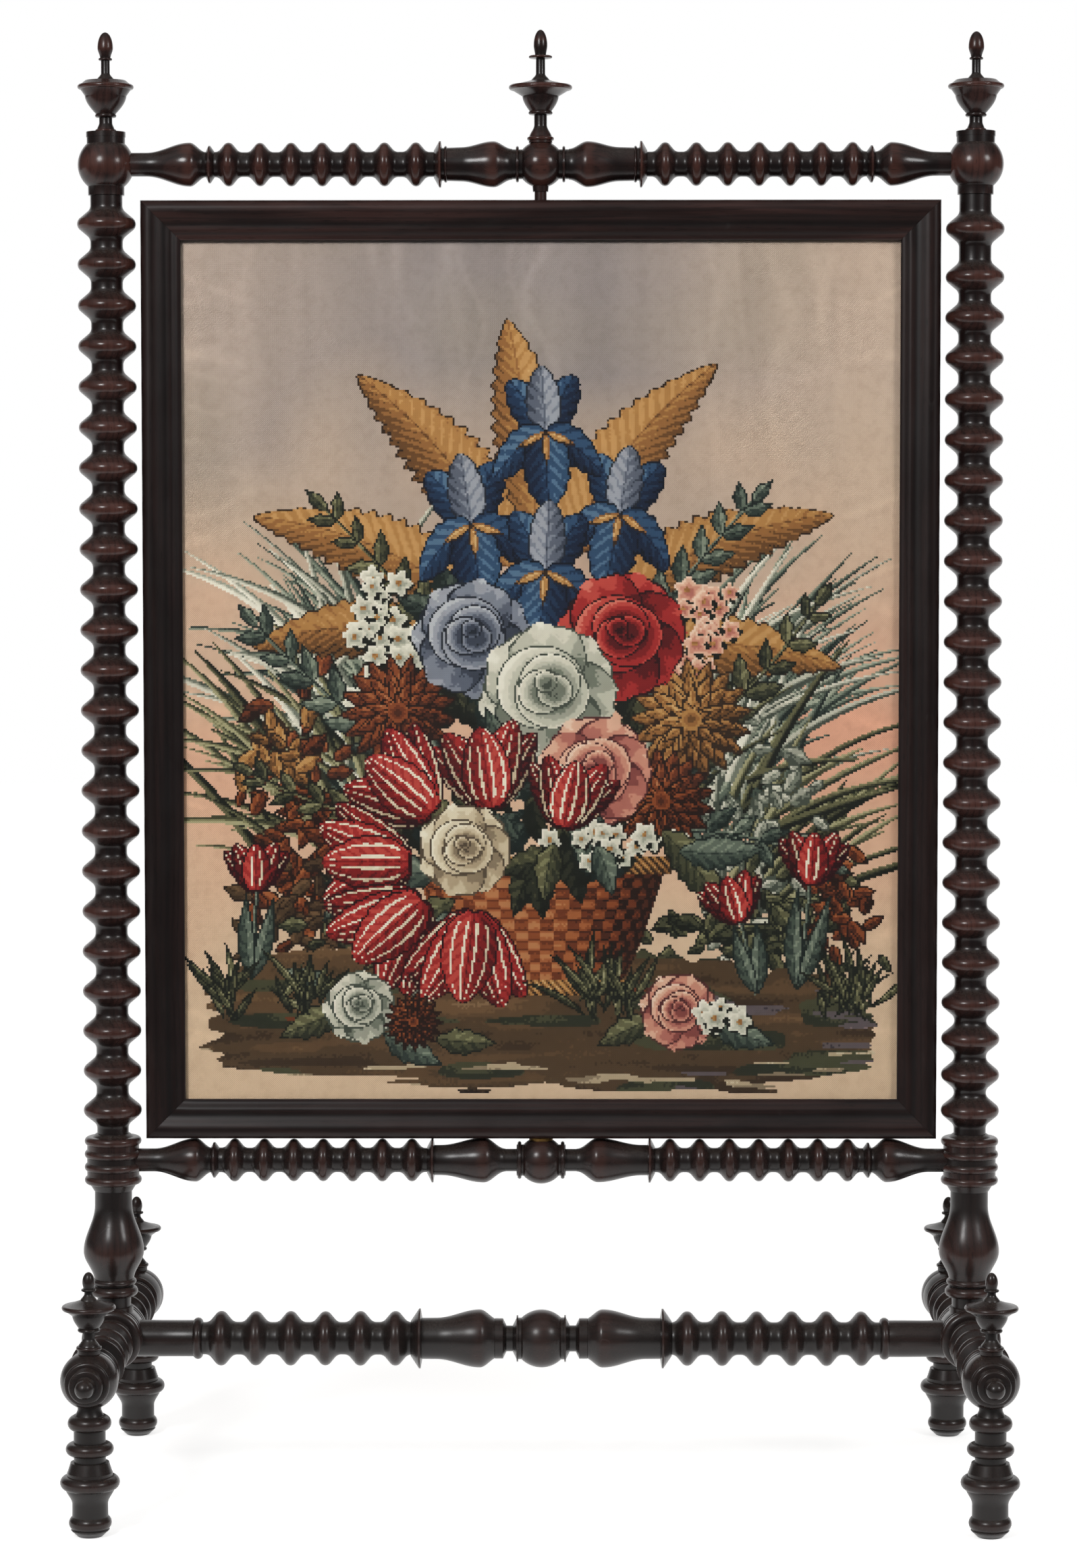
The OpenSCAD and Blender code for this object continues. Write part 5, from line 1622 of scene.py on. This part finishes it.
def work_mound(chart):
    """Ground that the basket stands on, with feathered ends."""
    reach = chart.width / 2
    x = np.abs(chart.x)
    crest = 122 + 12 * np.cos(chart.x / reach * 2.6 + 0.6) + 5 * chart.patchy(30, 400) + 4 * chart.patchy(10, 400)
    crest = crest - 30 * np.clip((x - 190) / 90, 0, 1) ** 2
    floor = 17 + 4 * chart.patchy(60, 400) + 26 * (x / reach) ** 4 + 6 * chart.patchy(60, 4)
    ends = reach * 0.91 + 14 * chart.patchy(400, 6) + 8 * chart.patchy(400, 4) - 20 * np.abs((chart.z - 66) / 50) ** 2
    inside = (chart.z < crest) & (chart.z > floor) & (x < ends)
    strata = 0.48 + 0.2 * chart.patchy(120, 12) + 0.13 * chart.patchy(46, 6) + 0.06 * chart.patchy(14, 4)
    strata = strata + 0.16 * (chart.z - 66) / 60 - 0.12 * (chart.x > 70) * np.clip((chart.z - 60) / 40, 0, 1)
    chart.paint(EVERYWHERE, inside, EARTHS, strata)
    mossy = inside & (chart.patchy(80, 14) > 0.35)
    chart.paint(EVERYWHERE, mossy, OLIVES, 0.34 + 0.12 * chart.patchy(30, 6))
    reddish = inside & (chart.patchy(100, 12) > 0.55) & (chart.z > 60)
    chart.paint(EVERYWHERE, reddish, RUSTS, 0.38 + 0.14 * chart.patchy(30, 6))
    feather = chart.patchy(70, 4.5) + 0.5 * chart.patchy(24, 4.3)
    frayed = inside & (feather > 0.5) & (chart.x > 110) & (chart.z < 96)
    chart.paint(EVERYWHERE, frayed, GREYS, 0.42 + 0.1 * chart.patchy(24, 5))
    chart.colour[frayed] *= linear(255, 214, 196)
    fringe = inside & (feather < -0.42) & (chart.z < floor + 20)
    chart.paint(EVERYWHERE, fringe, CREAMS, 0.38 + 0.15 * chart.patchy(30, 5))


def work_grasses(chart):
    """Arching grasses and reeds behind the basket, on both sides."""
    for x, z, lean, spread, count, shades in (
            (-128, 300, 112, 20, 90, SAGES), (136, 290, 66, 18, 80, SAGES), (-150, 330, 104, 24, 34, WHITES),
            (140, 300, 74, 20, 30, WHITES), (-170, 240, 126, 14, 40, OLIVES), (176, 220, 54, 14, 36, OLIVES)):
        for _ in range(count):
            angle = np.clip(lean + chart.rng.normal(0, spread), 24, 156)
            bend = (0.3 if angle > 90 else -0.3) * chart.rng.uniform(0.2, 1.7)
            chart.blade(x + chart.rng.normal(0, 22), z + chart.rng.uniform(-70, 50), chart.rng.uniform(60, 170),
                        chart.rng.uniform(4, 8), angle, shades, bend, chart.rng.uniform(-0.3, 0.25))


def work_bushes(chart):
    """Brown-leaved bush on the left, grey-leaved one on the right and low dark plants."""
    for x, z, wide, high, count, shades in (
            (-196, 226, 22, 56, 90, RUSTS), (-178, 150, 34, 26, 60, EARTHS), (-214, 296, 12, 24, 22, OCHRES),
            (176, 206, 22, 50, 76, WHITES), (190, 156, 28, 22, 44, OLIVES), (240, 150, 14, 26, 34, RUSTS),
            (-130, 142, 30, 14, 30, OLIVES), (124, 138, 26, 12, 26, OLIVES)):
        for _ in range(count):
            size = chart.rng.uniform(17, 28)
            chart.leaf(x + chart.rng.normal(0, wide), z + chart.rng.normal(0, high), size, size * 0.55,
                       chart.rng.uniform(0, 360), shades, 0.12, 0.1, chart.rng.uniform(-0.25, 0.12))


def work_basket(chart):
    """Woven basket with a rope rim and a foot."""
    foot_z, rim_z = 100, 198
    share = np.clip((chart.z - foot_z) / (rim_z - foot_z), 0, 1)
    half = 62 + 40 * share ** 0.7
    body = (chart.z >= foot_z) & (chart.z <= rim_z) & (np.abs(chart.x) <= half)
    across = chart.x / half
    cell = np.floor(np.arcsin(np.clip(across, -1, 1)) * 8).astype(int)
    row = np.floor(chart.z / 8.5).astype(int)
    over = ((cell + row) % 2) == 0
    rounding = 0.36 - 0.45 * (across + 0.25) ** 2
    rise = 0.2 * np.sin(np.pi * ((chart.z / 8.5) % 1))
    chart.paint(EVERYWHERE, body, RUSTS, rounding + np.where(over, 0.36, 0.02) + rise)
    for z, high, wide in ((foot_z - 2, 13, 68), (rim_z, 15, 107)):
        along = chart.x / 6.5 + (chart.z - z) / 7
        rope = (np.abs(chart.z - z) <= high / 2) & (np.abs(chart.x) <= wide)
        shade = 0.5 + 0.34 * np.cos(2 * np.pi * along) - 0.25 * (chart.x / wide) ** 2
        chart.paint(EVERYWHERE, rope, OCHRES, shade - 0.14 * (chart.z < z - 3))


def work_bouquet(chart):
    """Flowers that fill the basket, worked from the back to the front."""
    for x, z, length, width, angle, bend, light in (
            (-24, 440, 190, 64, 112, 0.3, 0.0), (20, 446, 190, 62, 70, -0.32, 0.05),
            (-60, 410, 176, 60, 138, 0.36, 0.06), (64, 408, 176, 58, 44, -0.38, 0.0),
            (-4, 470, 170, 56, 92, 0.1, 0.1), (-84, 380, 140, 52, 160, 0.4, -0.04),
            (92, 366, 140, 52, 20, -0.42, 0.04)):
        chart.leaf(x, z, length, width, angle, OCHRES, bend, 0.09, light, 1.5)
    for x, z, length, angle, bend, leaves, size, shades in (
            (-40, 320, 210, 122, 0.12, 8, 36, OLIVES), (46, 320, 210, 62, -0.14, 8, 36, SAGES),
            (-80, 270, 190, 150, -0.16, 7, 36, SAGES), (86, 270, 190, 34, 0.2, 7, 36, OLIVES),
            (-84, 230, 150, 178, -0.24, 6, 32, OLIVES), (90, 226, 140, 4, -0.26, 6, 32, SAGES)):
        chart.spray(x, z, length, angle, shades, bend, leaves, size, 0.1)
    for _ in range(96):
        size = chart.rng.uniform(36, 58)
        chart.leaf(chart.rng.uniform(-92, 92), chart.rng.uniform(200, 400), size, size * 0.5,
                   chart.rng.uniform(0, 360), OLIVES if chart.rng.uniform() < 0.6 else SAGES, 0.14, 0.1,
                   chart.rng.uniform(-0.45, -0.15))
    chart.blossoms(-124, 384, 20, 26, 28, 9, WHITES, OCHRES)
    chart.blossoms(132, 388, 18, 26, 24, 8.5, ROSES, OCHRES)
    chart.iris(-56, 474, 58, 8)
    chart.iris(64, 482, 56, -10)
    chart.iris(4, 548, 54, 3)
    chart.dahlia(-116, 322, 48, RUSTS, 0.2)
    chart.dahlia(122, 316, 50, OCHRES, 0.5)
    chart.iris(4, 436, 58, -4)
    chart.rose(-56, 382, 48, GREYS, 0.4)
    chart.rose(66, 384, 52, REDS, 1.2)
    chart.rose(6, 338, 56, WHITES, 0.7)
    chart.dahlia(98, 250, 44, RUSTS, 0.9)
    chart.rose(44, 274, 46, ROSES, 2.0)
    for x, z, length, width, angle, shades in (
            (-70, 220, 90, 34, 132, OLIVES), (-80, 190, 96, 34, 176, SAGES), (-70, 170, 96, 34, 210, OLIVES),
            (-76, 160, 90, 34, 246, SAGES), (-20, 250, 80, 30, 100, SAGES)):
        chart.leaf(x, z, length, width, angle, shades, 0.14, 0.08)
    chart.tulip(-40, 244, 74, 98, REDS, CREAMS)
    chart.tulip(-88, 240, 78, 140, REDS, CREAMS)
    chart.leaf(40, 250, 62, 30, 262, SAGES, 0.1, 0.08)
    chart.blossoms(62, 215, 26, 9, 15, 8.5, WHITES, OCHRES)
    for x, z, length, width, angle, bend, shades in (
            (-120, 214, 84, 32, 216, 0.2, SAGES), (98, 226, 88, 32, 318, -0.2, OLIVES),
            (12, 216, 50, 24, 250, 0.16, OLIVES), (44, 214, 44, 22, 300, -0.2, SAGES),
            (112, 210, 70, 28, 350, 0.2, SAGES)):
        chart.leaf(x, z, length, width, angle, shades, bend, 0.08)
    chart.tulip(-106, 200, 80, 180, REDS, CREAMS)
    chart.tulip(-96, 170, 84, 222, REDS, CREAMS)
    chart.tulip(-54, 160, 84, 262, REDS, CREAMS)
    chart.rose(-62, 210, 38, CREAMS, 0.9)
    chart.tulip(18, 228, 62, 78, REDS, CREAMS)


def work_foreground(chart):
    """Fallen flowers, tulips and small plants on the mound."""
    for x, z, angle, length, r in ((208, 96, 80, 92, 24), (176, 92, 100, 66, 22), (-236, 104, 84, 78, 22)):
        chart.stem(x, z, length, angle, SAGES, 0.05)
        px, pz, heading = chart.point_on(x, z, length, angle, 0.05, 1.0)
        for side in (-1, 1):
            chart.leaf(x, z, length * 0.9, 15, angle + side * 18, SAGES, -side * 0.16)
        chart.tulip(px, pz - 6, r * 2, heading, REDS, CREAMS)
    for x, z, length, angle, shades in (
            (-160, 78, 58, 196, OLIVES), (-128, 60, 54, 326, SAGES), (-86, 56, 50, 350, OLIVES),
            (92, 72, 52, 200, OLIVES), (140, 68, 54, 336, SAGES), (-170, 96, 48, 156, SAGES)):
        chart.leaf(x, z, length, length * 0.44, angle, shades, 0.1, 0.1)
    chart.rose(-148, 82, 30, WHITES, 1.4)
    chart.dahlia(-104, 70, 25, RUSTS, 0.3)
    chart.rose(112, 78, 32, ROSES, 0.2)
    chart.blossoms(150, 72, 12, 6, 7, 9, WHITES, OCHRES)
    for x in (-252, -196, 40, 64, 240, 262):
        for _ in range(13):
            chart.leaf(x + chart.rng.normal(0, 7), 82 + chart.rng.uniform(-14, 14), chart.rng.uniform(26, 60), 7,
                       90 + chart.rng.normal(0, 26), OLIVES, chart.rng.uniform(-0.3, 0.3), 0,
                       chart.rng.uniform(-0.1, 0.25))


def needlework_chart(columns, rows, settings):
    """Colour of every stitch, from the lower left."""
    chart = Chart(columns, rows, settings.stitch / MM, settings.seed)
    work_ground(chart, settings)
    work_grasses(chart)
    work_bushes(chart)
    work_mound(chart)
    work_basket(chart)
    work_bouquet(chart)
    work_foreground(chart)
    return chart.colour


def canvas_depth(x, z, half_w, height, ripple):
    """How far the stitched face lies behind the glass, in metres: ripples that run in from the tacks."""
    from_side = half_w - np.abs(x)
    from_end = np.minimum(z, height - z)
    taut = 0.00035
    fade_side = np.exp(-from_side / 0.045)
    fade_end = np.exp(-from_end / 0.05)
    pulls = 0.5 - 0.5 * np.cos(2 * np.pi * (z / 0.0345 + 0.25 * np.sin(z * 21) + 0.2 * np.sin(x * 6)))
    end_pulls = 0.5 - 0.5 * np.cos(2 * np.pi * (x / 0.041 + 0.3 * np.sin(x * 17)))
    loose = np.clip((np.minimum(from_side, from_end) - 0.03) / 0.03, 0, 1)
    slack = 0.5 + 0.5 * np.sin(x * 19 + 2 * np.sin(z * 11)) * np.sin(z * 14 + 1.3)
    waves = taut * (fade_side * pulls + fade_end * end_pulls * 0.7)
    return 0.00006 + waves + ripple * loose * (0.35 * slack + 0.6 * fade_side * pulls + 0.5 * fade_end * end_pulls)


class FIRESCREEN_OT_needlework(bpy.types.Operator):
    """Work the needlework stitch by stitch on its stretched canvas"""

    bl_idname = "fire_screen.needlework"
    bl_label = "Needlework"

    def execute(self, context):
        settings = context.scene.fire_screen.needlework
        low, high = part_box("needlework")
        width = high[0] - low[0]
        height = high[2] - low[2]
        turned = high[1] - low[1]
        columns = round(width / settings.stitch)
        rows = round(height / settings.stitch)
        back = 3
        across = np.concatenate([np.linspace(-turned, 0, back + 1)[:-1], np.linspace(0, width, columns + 1),
                                 width + np.linspace(0, turned, back + 1)[1:]])
        upward = np.concatenate([np.linspace(-turned, 0, back + 1)[:-1], np.linspace(0, height, rows + 1),
                                 height + np.linspace(0, turned, back + 1)[1:]])
        s, t = np.meshgrid(across, upward)
        fold = np.maximum(np.maximum(-s, s - width), np.maximum(np.maximum(-t, t - height), 0))
        inset = 0.0001
        x = np.clip(s, inset, width - inset) + low[0]
        z = np.clip(t, inset, height - inset) + low[2]
        ripples = canvas_depth(x, z - low[2], width / 2, height, settings.ripple)
        y = low[1] + np.where(fold > 0, np.maximum(fold - 0.0002, 0.0004), ripples)
        points = np.stack([x, y, z], axis=-1).reshape(-1, 3)
        wide = len(across)
        row, col = np.meshgrid(np.arange(len(upward) - 1), np.arange(wide - 1), indexing="ij")
        beyond_side = (col < back) | (col >= back + columns)
        beyond_end = (row < back) | (row >= back + rows)
        kept = ~(beyond_side & beyond_end)
        here = (row * wide + col)[kept]
        quads = np.stack([here, here + 1, here + wide + 1, here + wide], axis=-1)
        mesh = new_mesh("Needlework", points, [quads])
        mesh.shade_smooth()
        chart = needlework_chart(columns, rows, settings)
        stitch_row = np.clip(row - back, 0, rows - 1)[kept]
        stitch_col = np.clip(col - back, 0, columns - 1)[kept]
        wool = chart[stitch_row, stitch_col]
        edge = (beyond_side | beyond_end)[kept]
        wool[edge] = linear(186, 166, 132)
        corner = np.concatenate([wool, np.ones((len(wool), 1))], axis=1).repeat(4, axis=0)
        colours = mesh.color_attributes.new("wool", "FLOAT_COLOR", "CORNER")
        colours.data.foreach_set("color", corner.astype(np.float32).ravel())
        material = stitched_wool(settings, (low[0], low[2]))
        piece = new_piece("Needlework", mesh, material, "panel", ["needlework"])
        return {"FINISHED"}


OPERATORS = (
    FIRESCREEN_OT_stage, FIRESCREEN_OT_uprights, FIRESCREEN_OT_rails, FIRESCREEN_OT_feet,
    FIRESCREEN_OT_finials, FIRESCREEN_OT_frame, FIRESCREEN_OT_fittings, FIRESCREEN_OT_needlework,
)


class FIRESCREEN_PT_pieces(bpy.types.Panel):
    """Buttons for the stage and for each group of pieces"""

    bl_idname = "FIRESCREEN_PT_pieces"
    bl_label = "Fire Screen"
    bl_space_type = "VIEW_3D"
    bl_region_type = "UI"
    bl_category = "Fire Screen"

    def draw(self, context):
        for operator in OPERATORS:
            self.layout.operator(operator.bl_idname)
        settings = context.scene.fire_screen
        for part in (settings.wood, settings.needlework, settings.stage):
            for name in part.__annotations__:
                self.layout.prop(part, name)


CLASSES = (WoodSettings, NeedleworkSettings, StageSettings, FireScreenSettings, *OPERATORS, FIRESCREEN_PT_pieces)


def register():
    for made in CLASSES:
        bpy.utils.register_class(made)
    bpy.types.Scene.fire_screen = PointerProperty(type=FireScreenSettings)


def unregister():
    del bpy.types.Scene.fire_screen
    for made in reversed(CLASSES):
        bpy.utils.unregister_class(made)


def main():
    register()
    bpy.ops.fire_screen.stage()
    bpy.ops.fire_screen.uprights()
    bpy.ops.fire_screen.rails()
    bpy.ops.fire_screen.feet()
    bpy.ops.fire_screen.finials()
    bpy.ops.fire_screen.frame()
    bpy.ops.fire_screen.fittings()
    bpy.ops.fire_screen.needlework()
    bpy.context.view_layer.update()


if __name__ == "__main__":
    main()
